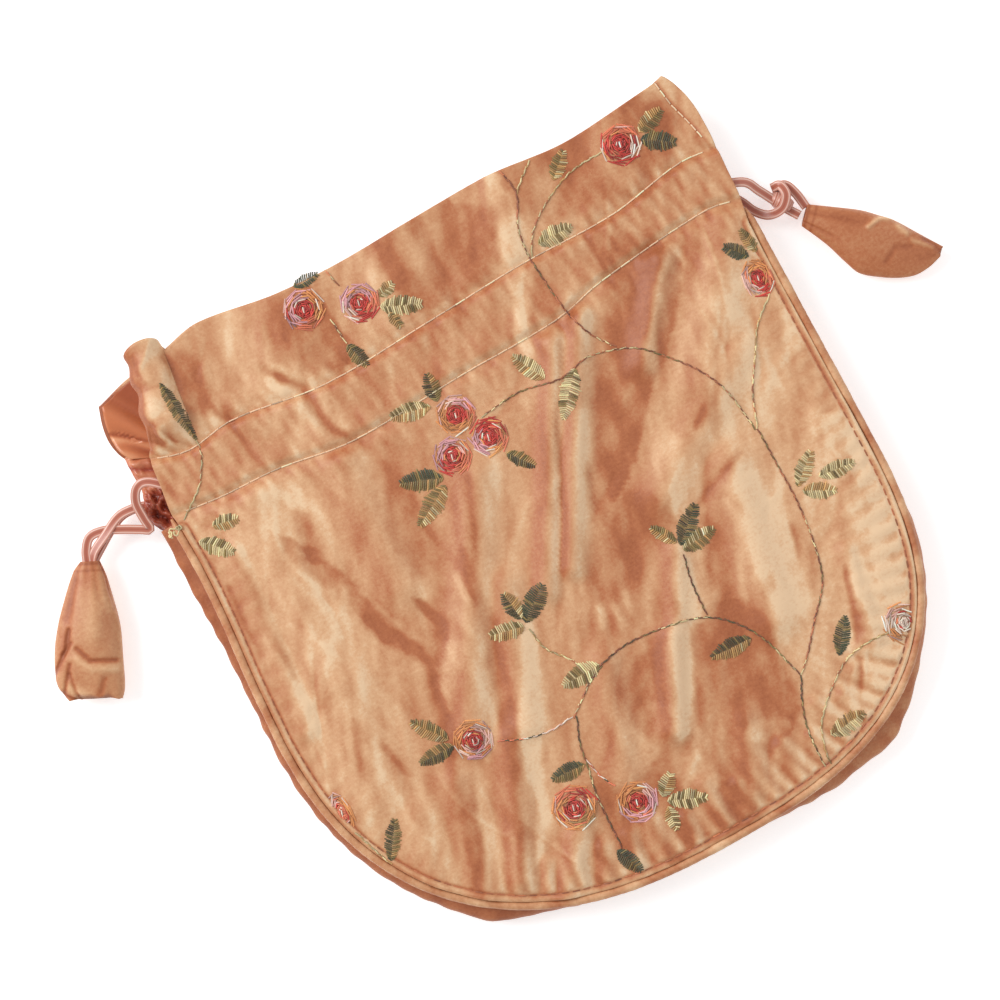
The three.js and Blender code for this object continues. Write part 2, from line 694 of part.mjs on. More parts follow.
function gusset() {
  return strip(gussetBulge, 0, GUSSET_SILK);
}

// The gusset's lining hangs straight where the gusset stands out, and follows it where it is tucked in
function gussetLining() {
  const distance = -(GUSSET_SILK / 2 + GAP + LINING / 2);
  return strip((share) => Math.min(gussetBulge(share), 0), distance, LINING, GUSSET_LINING_TRIM);
}

// A ribbon laid along points, flat on its back, or with its width along Y round a bend
function ribbon(points, acrossY = false) {
  const rings = points.map((p, i) => {
    const next = points[Math.min(i + 1, points.length - 1)];
    const along = next.clone().sub(points[Math.max(i - 1, 0)]).normalize();
    const side = acrossY ? new THREE.Vector3(0, 1, 0) : new THREE.Vector3(0, 0, 1).cross(along);
    side.addScaledVector(along, -side.dot(along)).normalize();
    const up = along.clone().cross(side);
    const corner = (s, u) =>
      p.clone().addScaledVector(side, (s * RIBBON_WIDTH) / 2).addScaledVector(up, (u * RIBBON) / 2);
    return [corner(1, -1), corner(1, 1), corner(-1, 1), corner(-1, -1)];
  });
  return skin(rings);
}

// A knot, swept along a line from its strands to the pod's neck
function knot(points, radii) {
  const curve = new THREE.CatmullRomCurve3(points);
  const sides = 10;
  const rings = radii.map((radius, i) => {
    const t = i / (radii.length - 1);
    const p = curve.getPointAt(t);
    const along = curve.getTangentAt(t);
    const side = new THREE.Vector3(0, 0, 1).cross(along).normalize();
    const up = along.clone().cross(side);
    const ring = [];
    for (let s = 0; s < sides; s += 1) {
      const angle = (2 * Math.PI * s) / sides;
      const sideways = p.clone().addScaledVector(side, radius * Math.cos(angle));
      ring.push(sideways.addScaledVector(up, radius * Math.sin(angle)));
    }
    return ring;
  });
  return skin(rings);
}

function asSolid(geometry) {
  const bare = geometry.clone();
  bare.deleteAttribute("normal");
  bare.deleteAttribute("uv");
  const merged = mergeVertices(bare, 1e-4);
  return new wasm.Manifold(
    new wasm.Mesh({
      numProp: 3,
      vertProperties: new Float32Array(merged.attributes.position.array),
      triVerts: new Uint32Array(merged.index.array),
    }),
  );
}

function joined(geometries) {
  const mesh = geometries.map(asSolid).reduce((sum, next) => sum.add(next)).getMesh();
  const geometry = new THREE.BufferGeometry();
  geometry.setAttribute("position", new THREE.BufferAttribute(new Float32Array(mesh.vertProperties), 3));
  geometry.setIndex([...mesh.triVerts]);
  geometry.computeVertexNormals();
  return geometry;
}

// The two sides of the pouch: which way is out, the ribbon's lane, and the hand-laid tails and knot outside
const LANE_STEP = (RIBBON_WIDTH + LANE_GAP) / 2;
const TAIL_STEPS = 22;
const SIDES = {
  right: {
    out: 1,
    lane: (x) => laneY(x) - LANE_STEP,
    mouthX: MOUTH_RIGHT_X,
    farX: MOUTH_LEFT_X,
    frontTail: [
      [82, 54.9, 7.9],
      [84.5, 52.3, 6.6],
      [86.6, 49.4, 5],
      [88, 47.2, 4],
    ],
    backTail: [
      [78.6, 52.4, 1.2],
      [80.6, 49, 1.3],
      [83.2, 46.2, 1.7],
      [86, 45.6, 2.6],
      [88, 46.4, 3.3],
    ],
    knot: [
      [86.9, 48.4, 3.9],
      [88.4, 46.2, 3.4],
      [90, 43.6, 3],
      [91.7, 40.5, 3.2],
    ],
    knotRadii: [1.3, 2.3, 2.8, 2.3, 1.7, 1.5, 1.4],
  },
  left: {
    out: -1,
    lane: (x) => laneY(x) + LANE_STEP,
    mouthX: MOUTH_LEFT_X,
    farX: MOUTH_RIGHT_X,
    frontTail: [
      [-79.4, 56.6, 8.2],
      [-82.6, 57.6, 7.4],
      [-85, 54.6, 6],
      [-86.4, 51.4, 4.8],
      [-89.8, 50.6, 4.2],
      [-93.4, 52.6, 4],
      [-97.4, 53.2, 3.9],
      [-99.6, 51.6, 3.8],
    ],
    backTail: [
      [-80, 54.6, 1.2],
      [-83.6, 56.8, 1.3],
      [-88, 56, 1.5],
      [-92.4, 54, 2],
      [-96, 51.4, 2.8],
      [-99.4, 51, 3.4],
    ],
    knot: [
      [-97.6, 52.4, 3.7],
      [-99.2, 51.4, 3.6],
      [-101.4, 49.4, 3.8],
    ],
    knotRadii: [1.2, 2.1, 2.4, 1.9, 1.6],
  },
};

// The sliding part of a drawstring: both runs in the channels, their tails and the knot that ties them
function drawstring({ out, lane, mouthX, farX, frontTail, backTail, knot: knotPoints, knotRadii }) {
  const startX = farX + out * (BEND_SETBACK + BEND_ROOM + GAP);
  const endX = mouthX - out * (BEND_ROOM - 1);
  const strand = (z, tail) => {
    const inLane = (x) => new THREE.Vector3(x, lane(x), z);
    const outside = tail.map((p) => new THREE.Vector3(...p));
    const curve = new THREE.CatmullRomCurve3([inLane(endX - out * RIBBON_WIDTH), inLane(endX), ...outside]);
    return ribbon([inLane(startX), ...curve.getSpacedPoints(TAIL_STEPS)]);
  };
  return joined([
    strand(FRONT_RIBBON_Z, frontTail),
    strand(BACK_RIBBON_Z, backTail),
    knot(knotPoints.map((p) => new THREE.Vector3(...p)), knotRadii),
  ]);
}

// The far bend of a drawstring, where it passes from the front channel into the back one
function drawstringBend({ out, lane, farX }) {
  const turnX = farX + out * (BEND_SETBACK + RIBBON / 2);
  const startX = farX + out * (BEND_SETBACK + BEND_ROOM);
  const radius = (FRONT_RIBBON_Z - BACK_RIBBON_Z) / 2;
  const middleZ = (FRONT_RIBBON_Z + BACK_RIBBON_Z) / 2;
  const points = [];
  const steps = 12;
  for (let i = 0; i <= steps; i += 1) {
    const angle = (Math.PI * i) / steps;
    const x = turnX + out * radius * (1 - Math.sin(angle));
    points.push(new THREE.Vector3(x, lane(x), middleZ + radius * Math.cos(angle)));
  }
  const end = (z) => new THREE.Vector3(startX, lane(startX), z);
  return ribbon([end(FRONT_RIBBON_Z), ...points, end(BACK_RIBBON_Z)], true);
}

// A silk pod, gathered at its neck and folded in at its open end
function pod({ from, to, halfWidths, halfHeights, mouth }) {
  const start = new THREE.Vector2(...from);
  const along = new THREE.Vector2(...to).sub(start);
  const across = new THREE.Vector2(-along.y, along.x).normalize();
  const middleZ = Math.max(...halfHeights) + TABLE_CLEARANCE;
  const ring = (t, halfWidth, halfHeight) => {
    const points = [];
    for (let s = 0; s < POD_SIDES; s += 1) {
      const angle = (2 * Math.PI * s) / POD_SIDES;
      const side = halfWidth * Math.cos(angle);
      const centre = start.clone().addScaledVector(along, t).addScaledVector(across, side);
      points.push(new THREE.Vector3(centre.x, centre.y, middleZ + halfHeight * Math.sin(angle)));
    }
    return points;
  };
  const last = halfWidths.length - 1;
  const rings = halfWidths.map((w, i) => ring(i / last, w, halfHeights[i]));
  const inside = 1 - POD_MOUTH_DEPTH / along.length();
  rings.push(ring(1, halfWidths[last] * mouth, halfHeights[last] * mouth));
  rings.push(ring(inside, halfWidths[last] * mouth * 0.6, halfHeights[last] * mouth * 0.6));
  return skin(rings);
}

const silk = new THREE.MeshStandardMaterial({ color: 0xcf9468, roughness: 0.5, metalness: 0 });
const liningSatin = new THREE.MeshStandardMaterial({ color: 0xc87850, roughness: 0.35, metalness: 0 });
const ribbonSatin = new THREE.MeshStandardMaterial({ color: 0xc98a78, roughness: 0.4, metalness: 0 });

const pouch = new THREE.Group();
pouch.position.set(-ORIGIN_X, -ORIGIN_Y, 0);

function add(name, geometry, material) {
  const mesh = new THREE.Mesh(geometry, material);
  mesh.name = name;
  pouch.add(mesh);
}

add("front_panel", frontPanel(), silk);
add("back_panel", backPanel(), silk);
add("front_lining", frontLining(), liningSatin);
add("back_lining", backLining(), liningSatin);
add("gusset", gusset(), silk);
add("gusset_lining", gussetLining(), liningSatin);
add("front_piping", piping(FRONT_PIPING_Z), silk);
add("back_piping", piping(BACK_PIPING_Z), silk);
add("right_drawstring", drawstring(SIDES.right), ribbonSatin);
add("left_drawstring", drawstring(SIDES.left), ribbonSatin);
add("right_drawstring_bend", drawstringBend(SIDES.right), ribbonSatin);
add("left_drawstring_bend", drawstringBend(SIDES.left), ribbonSatin);
add("right_pod", pod(RIGHT_POD), silk);
add("left_pod", pod(LEFT_POD), silk);

export default pouch;
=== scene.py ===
# %% [markdown]
# A drawstring pouch of shot silk, lying flat on a table. It is about 16 cm wide and 17 cm tall, lined with satin,
# piped round its seam and embroidered with roses. Two ribbons run through its channel, and each ends in a silk pod.
# The whole look is made in code: cloth from grids of points, threads from Geometry Nodes, finishes from shader nodes.

# %% Load the frame
import math

import bpy
import numpy as np
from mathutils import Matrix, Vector
from mathutils.bvhtree import BVHTree


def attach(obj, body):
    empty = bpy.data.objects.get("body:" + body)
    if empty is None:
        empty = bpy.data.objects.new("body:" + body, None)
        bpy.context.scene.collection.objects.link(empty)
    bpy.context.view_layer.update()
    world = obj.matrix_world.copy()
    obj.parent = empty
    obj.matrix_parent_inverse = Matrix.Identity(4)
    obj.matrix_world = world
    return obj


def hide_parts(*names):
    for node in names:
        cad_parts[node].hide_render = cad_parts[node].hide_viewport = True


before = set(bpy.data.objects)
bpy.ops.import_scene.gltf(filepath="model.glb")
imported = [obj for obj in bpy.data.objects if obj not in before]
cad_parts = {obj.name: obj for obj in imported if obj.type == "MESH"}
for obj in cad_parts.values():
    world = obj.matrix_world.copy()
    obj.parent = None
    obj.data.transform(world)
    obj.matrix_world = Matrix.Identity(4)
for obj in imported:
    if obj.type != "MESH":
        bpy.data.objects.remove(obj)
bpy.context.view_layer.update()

# %% [markdown]
# Sizes below are millimetres in the pouch's own plan: X to the right, Y towards the mouth, Z up from the table.
# The plan's origin is the middle of the body, and PLAN_ORIGIN says where the row frame has its own.

# %% Plan and metres
MM = 0.001
PLAN_ORIGIN = np.array([-1.64, 2.03, 0.0])


def metres(points):
    """Points of the plan, in millimetres, as points of the row frame, in metres."""
    return (np.asarray(points, float) - PLAN_ORIGIN) * MM


def smoothstep(x, low, high):
    t = np.clip((x - low) / (high - low), 0, 1)
    return t * t * (3 - 2 * t)


def lerp(a, b, t):
    return a + (b - a) * t


def bell(distance, width):
    """1 at no distance, fading softly to 0 over a few widths."""
    return np.exp(-((distance / width) ** 2))


def placed(name, data):
    """A new object in the scene."""
    obj = bpy.data.objects.new(name, data)
    bpy.context.scene.collection.objects.link(obj)
    return obj


# %% [markdown]
# The camera looks straight down on the table. It is turned so that the mouth points up and to the left, and it sits
# high with a long lens, because the photograph shows no perspective on a thing this flat.

# %% Camera
PICTURE_WIDTH = 240.0
PICTURE_TURN = -28.5
LENS = 85.0
SENSOR = 36.0
LOOK_AT = (-6.49, 14.43, 9.0)

camera_data = bpy.data.cameras.new("camera")
camera_data.lens = LENS
camera_data.sensor_width = SENSOR
camera = placed("camera", camera_data)
height = PICTURE_WIDTH * LENS / SENSOR
camera.location = metres((LOOK_AT[0], LOOK_AT[1], LOOK_AT[2] + height))
camera.rotation_euler = (0, 0, math.radians(PICTURE_TURN))
camera_data.clip_start = 0.01
bpy.context.scene.camera = camera
bpy.context.scene.view_settings.view_transform = "Standard"
print("camera", round(height), "mm above the cloth")

# %% [markdown]
# The outlines come from a few measured lines: the edge of the header, the two rows of channel stitches and the seam's
# curve round the bottom. Each is a smooth line through its points, the same in the solids and here.

# %% Outlines
BODY_WIDTH = 157.0
BODY_MIDDLE_X = -1.0
SIDE_TOP_Y = 44.5
CURVE_TOP_Y = -12.0
CURVE_DEPTH = 70.6
LEFT_SQUARENESS = 2.35
RIGHT_SQUARENESS = 2.75
CORNER_ANGLE = 0.28 * math.pi
CURVE_SAMPLES = 3000
LEFT_SIDE_STEPS = 12


def through(points):
    """A smooth function through points (x, y), with x rising."""
    xs, ys = np.array(points, float).T
    ahead = np.minimum(np.arange(len(xs)) + 1, len(xs) - 1)
    behind = np.maximum(np.arange(len(xs)) - 1, 0)
    slopes = (ys[ahead] - ys[behind]) / (xs[ahead] - xs[behind])

    def at(x):
        x = np.clip(x, xs[0], xs[-1])
        i = np.clip(np.searchsorted(xs, x) - 1, 0, len(xs) - 2)
        span = xs[i + 1] - xs[i]
        t = (x - xs[i]) / span
        return (
            ys[i] * (2 * t**3 - 3 * t**2 + 1)
            + ys[i + 1] * (3 * t**2 - 2 * t**3)
            + slopes[i] * span * (t**3 - 2 * t**2 + t)
            + slopes[i + 1] * span * (t**3 - t**2)
        )

    return at


front_edge = through(
    [(-60, 84.5), (-50, 86.5), (-30, 83.5), (-10, 83), (25, 84.3), (48, 82.5), (72, 84.5), (76, 85.4)]
)
upper_stitch = through(
    [(-78, 64), (-67, 60.6), (-54, 62), (-30, 58.9), (0, 60.3), (25, 61.7), (50, 61.8), (70, 65), (80, 64)]
)
lower_stitch = through(
    [(-78, 48.6), (-65, 47.1), (-50, 46.5), (-31, 43.8), (0, 45.2), (26, 46), (40, 49), (70, 52), (79, 50.4)]
)
back_edge = through([(-81.5, 81), (-70, 84), (-55, 83.4), (0, 82), (76, 82.5)])
left_side_x = through([(-12, -79.5), (5, -78.6), (20, -77.3), (34, -76.7), (44.5, -76.9)])
MOUTH_LEFT_X = -77.5
MOUTH_RIGHT_X = 79.5
HEADER_RIGHT_X = 76.0
HEADER_RIGHT_BOW = 2.0
BACK_HEADER_LEFT = [(0, -81.6), (0.3, -83), (0.58, -83.5), (0.84, -82.8), (1, -81.6)]


def curve_point(angle, outward=0.0):
    """The seam round the bottom: angle 0 is the left side and half a turn the right side."""
    angle = np.asarray(angle, float)
    power = 2 / np.where(angle < math.pi / 2, LEFT_SQUARENESS, RIGHT_SQUARENESS)
    across, down = -np.cos(angle), np.maximum(np.sin(angle), 0)
    x = BODY_MIDDLE_X + (BODY_WIDTH / 2 + outward) * np.sign(across) * np.abs(across) ** power
    return np.stack([x, CURVE_TOP_Y - (CURVE_DEPTH + outward) * down**power], -1)


def curve_between(start, end, outward=0.0):
    return curve_point(np.linspace(start, end, CURVE_SAMPLES + 1), outward)


def lengths_along(points):
    steps = np.linalg.norm(np.diff(points, axis=0), axis=1)
    return np.concatenate([[0], np.cumsum(steps)])


def evenly(points, count):
    """The same line with its points at equal distances."""
    points = np.asarray(points, float)
    along = lengths_along(points)
    at = np.linspace(0, along[-1], count + 1)
    return np.stack([np.interp(at, along, points[:, k]) for k in range(points.shape[1])], -1)


def at_shares(points, shares):
    """Points at shares of the way along a line."""
    along = lengths_along(points)
    return np.stack([np.interp(shares * along[-1], along, points[:, k]) for k in range(points.shape[1])], -1)


def left_side(top_y, outward=0.0):
    """The left side leans in towards the mouth."""
    y = np.linspace(top_y, CURVE_TOP_Y, LEFT_SIDE_STEPS + 1)[:-1]
    return np.stack([left_side_x(y) - outward, y], -1)


def seam_line(count, top_y=SIDE_TOP_Y, outward=0.0):
    curve = curve_between(0, math.pi, outward)
    return evenly([*left_side(top_y, outward), *curve, (curve[-1][0], top_y)], count)


def directions(line):
    """The unit direction of a line at each of its points."""
    along = np.gradient(line, axis=0)
    return along / np.linalg.norm(along, axis=1, keepdims=True)


def outward_of(line):
    along = directions(line)
    return np.stack([along[:, 1], -along[:, 0]], -1)


SEAM_STEPS = 600
seam = seam_line(SEAM_STEPS)
print("seam", round(lengths_along(seam)[-1]), "mm long")

# %% [markdown]
# Heights of the layers above the table, bottom to top: back silk, back lining, the empty pocket, front lining, front
# silk. Where the ribbons pass, between the two rows of stitches, the cloth stands up by their thickness.

# %% Layers
SILK = 0.5
LINING = 0.4
GAP = 0.3
POCKET = 5.4
RIBBON_WIDTH = 2.3
RIBBON = 0.6
CHANNEL_ROOM = 2 * GAP + RIBBON
FRONT_LINING_Z = SILK + CHANNEL_ROOM + LINING + POCKET
FRONT_Z = FRONT_LINING_Z + LINING + GAP
FRONT_CHANNEL_Z = FRONT_LINING_Z + LINING + CHANNEL_ROOM
FRONT_RIBBON_Z = FRONT_LINING_Z + LINING + GAP + RIBBON / 2
BACK_RIBBON_Z = SILK + GAP + RIBBON / 2
PIPING = 2.0
FRONT_PIPING_Z = FRONT_Z + SILK / 2
BACK_PIPING_Z = PIPING / 2 + GAP / 2


# %% [markdown]
# Two helpers turn points into meshes. One takes a grid of points and makes a cloth with a fine upper face, a coarser
# under face and a closed rim. Where the cloth is creased, its under face keeps below the deepest crease nearby. The
# other takes rings of points and makes a closed tube. Both keep numbers on the points, such as the tone of the silk,
# for the finishes to read.

# %% Mesh helpers
def mesh_object(name, points, faces, numbers=None):
    mesh = bpy.data.meshes.new(name)
    mesh.from_pydata(metres(points).tolist(), [], faces)
    mesh.shade_smooth()
    for key, values in (numbers or {}).items():
        mesh.attributes.new(key, "FLOAT", "POINT").data.foreach_set("value", np.asarray(values, np.float32))
    mesh.validate()
    mesh.calc_loop_triangles()
    corners = np.zeros(len(mesh.loop_triangles) * 3, np.int32)
    mesh.loop_triangles.foreach_get("vertices", corners)
    a, b, c = metres(points)[corners.reshape(-1, 3)].transpose(1, 0, 2)
    if np.einsum("ij,ij->", a, np.cross(b, c)) < 0:
        mesh.flip_normals()
    print(f"{name}: {len(mesh.polygons)} faces")
    return placed(name, mesh)


def grid_normals(grid):
    across = np.gradient(grid, axis=1)
    up = -np.gradient(grid, axis=0)
    normals = np.cross(across, up)
    return normals / np.maximum(np.linalg.norm(normals, axis=-1, keepdims=True), 1e-9)


UNDER_STEP = 4


def lowest_near(z, reach):
    """Each value of a grid replaced by the lowest one around it."""
    padded = np.pad(z, reach, mode="edge")
    rows, columns = z.shape
    return np.min([
        padded[r : r + rows, c : c + columns] for r in range(2 * reach + 1) for c in range(2 * reach + 1)
    ], 0)


def cloth(name, grid, thickness, numbers=None, creased_from=None):
    """A closed cloth on a grid of points of its middle surface, first row at the mouth, left to right.

    From row creased_from on, the under face takes the lowest height around each of its points.
    """
    rows, columns = grid.shape[:2]
    lift = grid_normals(grid) * thickness / 2
    top = (grid + lift).reshape(-1, 3)
    below = grid - lift
    if creased_from is not None:
        below[creased_from:, :, 2] = lowest_near(below[creased_from:, :, 2], UNDER_STEP - 1)
    r_under = np.arange(0, rows, UNDER_STEP)
    c_under = np.arange(0, columns, UNDER_STEP)
    under = below[np.ix_(r_under, c_under)].reshape(-1, 3)
    a = np.arange(len(top)).reshape(rows, columns)
    b = len(top) + np.arange(len(under)).reshape(len(r_under), len(c_under))
    faces = np.stack([a[:-1, :-1], a[1:, :-1], a[1:, 1:], a[:-1, 1:]], -1).reshape(-1, 4).tolist()
    faces += np.stack([b[:-1, :-1], b[:-1, 1:], b[1:, 1:], b[1:, :-1]], -1).reshape(-1, 4).tolist()
    for tops, unders in ((a[0], b[0]), (a[-1, ::-1], b[-1, ::-1]), (a[::-1, 0], b[::-1, 0]), (a[:, -1], b[:, -1])):
        tops, unders = tops.tolist(), unders.tolist()
        for k in range(len(unders) - 1):
            part = tops[k * UNDER_STEP : (k + 1) * UNDER_STEP + 1]
            faces.append([*part, unders[k + 1], unders[k]])
    both = {}
    for key, values in (numbers or {}).items():
        values = np.asarray(values)
        both[key] = np.concatenate([values.ravel(), values[np.ix_(r_under, c_under)].ravel()])
    return mesh_object(name, np.concatenate([top, under]), faces, both)


def tube(name, rings, numbers):
    """A closed solid skinned over rings of points that go round it, seen from the end towards the start."""
    count, sides = rings.shape[:2]
    faces = []
    for r in range(count - 1):
        for s in range(sides):
            a, b = r * sides + s, r * sides + (s + 1) % sides
            faces.append((a, b, b + sides, a + sides))
    faces.append(list(range(sides - 1, -1, -1)))
    faces.append([(count - 1) * sides + s for s in range(sides)])
    flat = {key: values.ravel() for key, values in numbers.items()}
    return mesh_object(name, rings.reshape(-1, 3), faces, flat)


def frames_along(points):
    """Side and up directions at each point of a line."""
    along = directions(points)
    side = np.cross((0.0, 0.0, 1.0), along)
    side /= np.maximum(np.linalg.norm(side, axis=1, keepdims=True), 1e-9)
    return side, np.cross(along, side)


SPLINE_STEPS = 24


def smooth_line(points, count):
    """Evenly spaced points along a Catmull-Rom line through a few points."""
    p = np.asarray(points, float)
    p = np.concatenate([[2 * p[0] - p[1]], p, [2 * p[-1] - p[-2]]])
    fine = []
    for i in range(1, len(p) - 2):
        t = np.linspace(0, 1, SPLINE_STEPS, endpoint=False)[:, None]
        fine.append(
            0.5
            * (
                2 * p[i]
                + (p[i + 1] - p[i - 1]) * t
                + (2 * p[i - 1] - 5 * p[i] + 4 * p[i + 1] - p[i + 2]) * t**2
                + (3 * p[i] - p[i - 1] - 3 * p[i + 1] + p[i + 2]) * t**3
            )
        )
    return evenly(np.concatenate([*fine, [p[-2]]]), count)


# %% [markdown]
# Small helpers for node trees: one makes a group with its sockets, one adds a node with its links and settings.

# %% Node helpers
def node_group(name, tree_kind, inputs, outputs):
    group = bpy.data.node_groups.new(name, tree_kind)
    for title, kind, value in inputs:
        socket = group.interface.new_socket(title, in_out="INPUT", socket_type=kind)
        if value is not None:
            socket.default_value = value
    for title, kind in outputs:
        group.interface.new_socket(title, in_out="OUTPUT", socket_type=kind)
    return group, group.nodes.new("NodeGroupInput"), group.nodes.new("NodeGroupOutput")


def node(tree, kind, links=None, **settings):
    made = tree.nodes.new(kind)
    for key, value in settings.items():
        setattr(made, key, value)
    for socket, source in (links or {}).items():
        target = made.inputs[socket]
        if isinstance(source, bpy.types.NodeSocket):
            tree.links.new(source, target)
        else:
            target.default_value = source
    return made


def srgb(r, g, b):
    """A colour given in steps of 0 to 255, as the linear numbers that shaders use."""
    return tuple((v / 255 / 12.92) if v <= 10 else ((v / 255 + 0.055) / 1.055) ** 2.4 for v in (r, g, b))


# %% [markdown]
# The drawstrings come first among the pieces. Each is a satin ribbon that runs through the channel in front and behind
# the pocket and comes out at one side of the mouth, where its two ends and a short tail are tied into a knot at the
# neck of a pod. A ribbon is a flat tube with soft edges. "across" says where a point lies between its two edges, for
# the painted highlight along both edges and the painted shade between them. Where a ribbon turns round the far end of
# the channel, that bend is a piece of its own.

# %% Ribbons
LANE_Y = 55.0
LANE_SLOPE = 0.03
LANE_GAP = 0.6
LANE_STEP = (RIBBON_WIDTH + LANE_GAP) / 2
BEND_ROOM = 5.0
BEND_SETBACK = 1.2
SIDES = {
    "right": {
        "out": 1,
        "front": [(81.6, 53.6, 7.6), (84.0, 50.2, 6.2), (86.2, 46.8, 4.4), (88, 43.8, 3.2), (90.2, 40.4, 3.4)],
        "back": [
            (79.4, 50.6, 1.6), (81.3, 46.6, 2.2), (83.8, 44.0, 3.4), (87, 43.8, 5.2), (89.3, 46.2, 6.0),
            (89.2, 49, 5.2), (87.4, 49.4, 3.6),
        ],
        "tail": [(87.4, 48.8, 3.0), (90.4, 48.6, 4.2), (91.8, 45.6, 4.2), (92.6, 41.4, 3.4)],
        "knot": [(86.2, 47.6, 3.4), (87.4, 46.2, 3.4), (88.6, 44.6, 3.3), (89.6, 43.2, 3.2)],
        "radii": [1.2, 1.9, 2.2, 1.8, 1.2],
    },
    "left": {
        "out": -1,
        "front": [
            (-78.6, 58.6, 8.4), (-81.8, 58.7, 7.8), (-83.9, 55.8, 6.6), (-84.2, 51.6, 5.6), (-84.2, 48.6, 4.9),
            (-86.4, 49.7, 4.6), (-90.2, 51.8, 4.5), (-94.4, 53.7, 4.5), (-98, 53.9, 4.2), (-100.3, 51.6, 4),
            (-101.6, 48.6, 4),
        ],
        "back": [
            (-80, 53.6, 1.2), (-84.6, 54.8, 1.6), (-89, 54.9, 2.2), (-93, 53, 2.9), (-96.4, 50.8, 3.4),
            (-99.8, 48.4, 3.8), (-102, 46, 4),
        ],
        "tail": [(-84.3, 54.9, 4.8), (-89.4, 55.0, 4.4), (-94.6, 52.4, 4.9), (-98.8, 50.2, 4.4), (-101, 47.6, 4)],
        "knot": [(-100.8, 48.4, 4), (-102.2, 46, 4), (-103.4, 43.4, 4.2)],
        "radii": [1.0, 1.7, 1.9, 1.6, 1.2],
    },
}


def lane_y(side, x):
    return LANE_Y + LANE_SLOPE * x - SIDES[side]["out"] * LANE_STEP


RIBBON_SECTION = [
    (1.0, -0.25), (1.0, 0.25), (0.88, 0.5), (0.45, 0.46), (0.0, 0.4), (-0.45, 0.46), (-0.88, 0.5),
    (-1.0, 0.25), (-1.0, -0.25), (-0.88, -0.5), (0.0, -0.4), (0.88, -0.5),
]


def ribbon_tube(name, points, wide, thick):
    """A ribbon along a line, from the directions of its width and its thickness at each point."""
    rings = [points + wide * (s * RIBBON_WIDTH / 2) + thick * (u * RIBBON) for s, u in RIBBON_SECTION]
    across = np.tile([s for s, _ in RIBBON_SECTION], (len(points), 1))
    return tube(name, np.stack(rings, 1), {"across": across})


def ribbon(name, points, twist=0.0):
    """A ribbon that starts flat and turns evenly by a twist along its line."""
    side, above = frames_along(points)
    turn = np.linspace(0, twist, len(points))[:, None]
    wide = side * np.cos(turn) + above * np.sin(turn)
    return ribbon_tube(name, points, wide, above * np.cos(turn) - side * np.sin(turn))


LANE_STEPS = 60
FREE_STEPS = 90


def strand_points(side, layer):
    """The route of one leg of a ribbon: straight along its lane in the channel, then out of the mouth."""
    data = SIDES[side]
    out, lane_z = data["out"], (FRONT_RIBBON_Z if layer == "front" else BACK_RIBBON_Z)
    mouth_x, far_x = (MOUTH_RIGHT_X, MOUTH_LEFT_X) if out > 0 else (MOUTH_LEFT_X, MOUTH_RIGHT_X)
    start_x = far_x + out * (BEND_SETBACK + BEND_ROOM + GAP)
    end_x = mouth_x - out * (BEND_ROOM - 1)
    lane_x = np.linspace(start_x, end_x - out * RIBBON_WIDTH, LANE_STEPS)
    inside = [(x, lane_y(side, x), lane_z) for x in lane_x]
    free = smooth_line([inside[-1], (end_x, lane_y(side, end_x), lane_z), *data[layer]], FREE_STEPS)
    return np.concatenate([inside[:-1], free])


ribbons = {}
for side in SIDES:
    for layer in ("front", "back"):
        points = strand_points(side, layer)
        ribbons[side, layer] = ribbon(f"{side}_ribbon_{layer}", points)
        outside = points[np.abs(points[:, 0]) > (MOUTH_RIGHT_X if side == "right" else -MOUTH_LEFT_X)]
        print(side, layer, "ribbon", round(lengths_along(points)[-1]), "mm, of which",
              round(lengths_along(outside)[-1], 1), "mm is free")


TAIL_TWIST = 0.5
tails = {
    side: ribbon(f"{side}_ribbon_tail", smooth_line(data["tail"], LANE_STEPS), TAIL_TWIST)
    for side, data in SIDES.items()
}


def bend_points(side):
    """Half a turn from the front lane to the back one, with a short straight end on each."""
    out = SIDES[side]["out"]
    far_x = MOUTH_LEFT_X if out > 0 else MOUTH_RIGHT_X
    turn_x = far_x + out * (BEND_SETBACK + RIBBON / 2)
    start_x = far_x + out * (BEND_SETBACK + BEND_ROOM)
    radius = (FRONT_RIBBON_Z - BACK_RIBBON_Z) / 2
    middle_z = (FRONT_RIBBON_Z + BACK_RIBBON_Z) / 2
    angle = np.linspace(0, math.pi, 33)
    x = turn_x + out * radius * (1 - np.sin(angle))
    arc = np.stack([x, lane_y(side, x), middle_z + radius * np.cos(angle)], -1)
    end = [(start_x, lane_y(side, start_x), z) for z in (FRONT_RIBBON_Z, BACK_RIBBON_Z)]
    return np.concatenate([[end[0]], arc, [end[1]]])


def bend(side):
    points = bend_points(side)
    wide = np.tile([0.0, 1.0, 0.0], (len(points), 1))
    return ribbon_tube(f"{side}_ribbon_bend", points, wide, np.cross(directions(points), wide))


bends = {side: bend(side) for side in SIDES}


# %% [markdown]
# The front panel is one cloth from the header's edge to the bottom seam. Its height is worked out for each point of
# the plan: the channel, long folds, gathers at the stitches and waves of the header. The fine creases that thin silk
# keeps come after them.

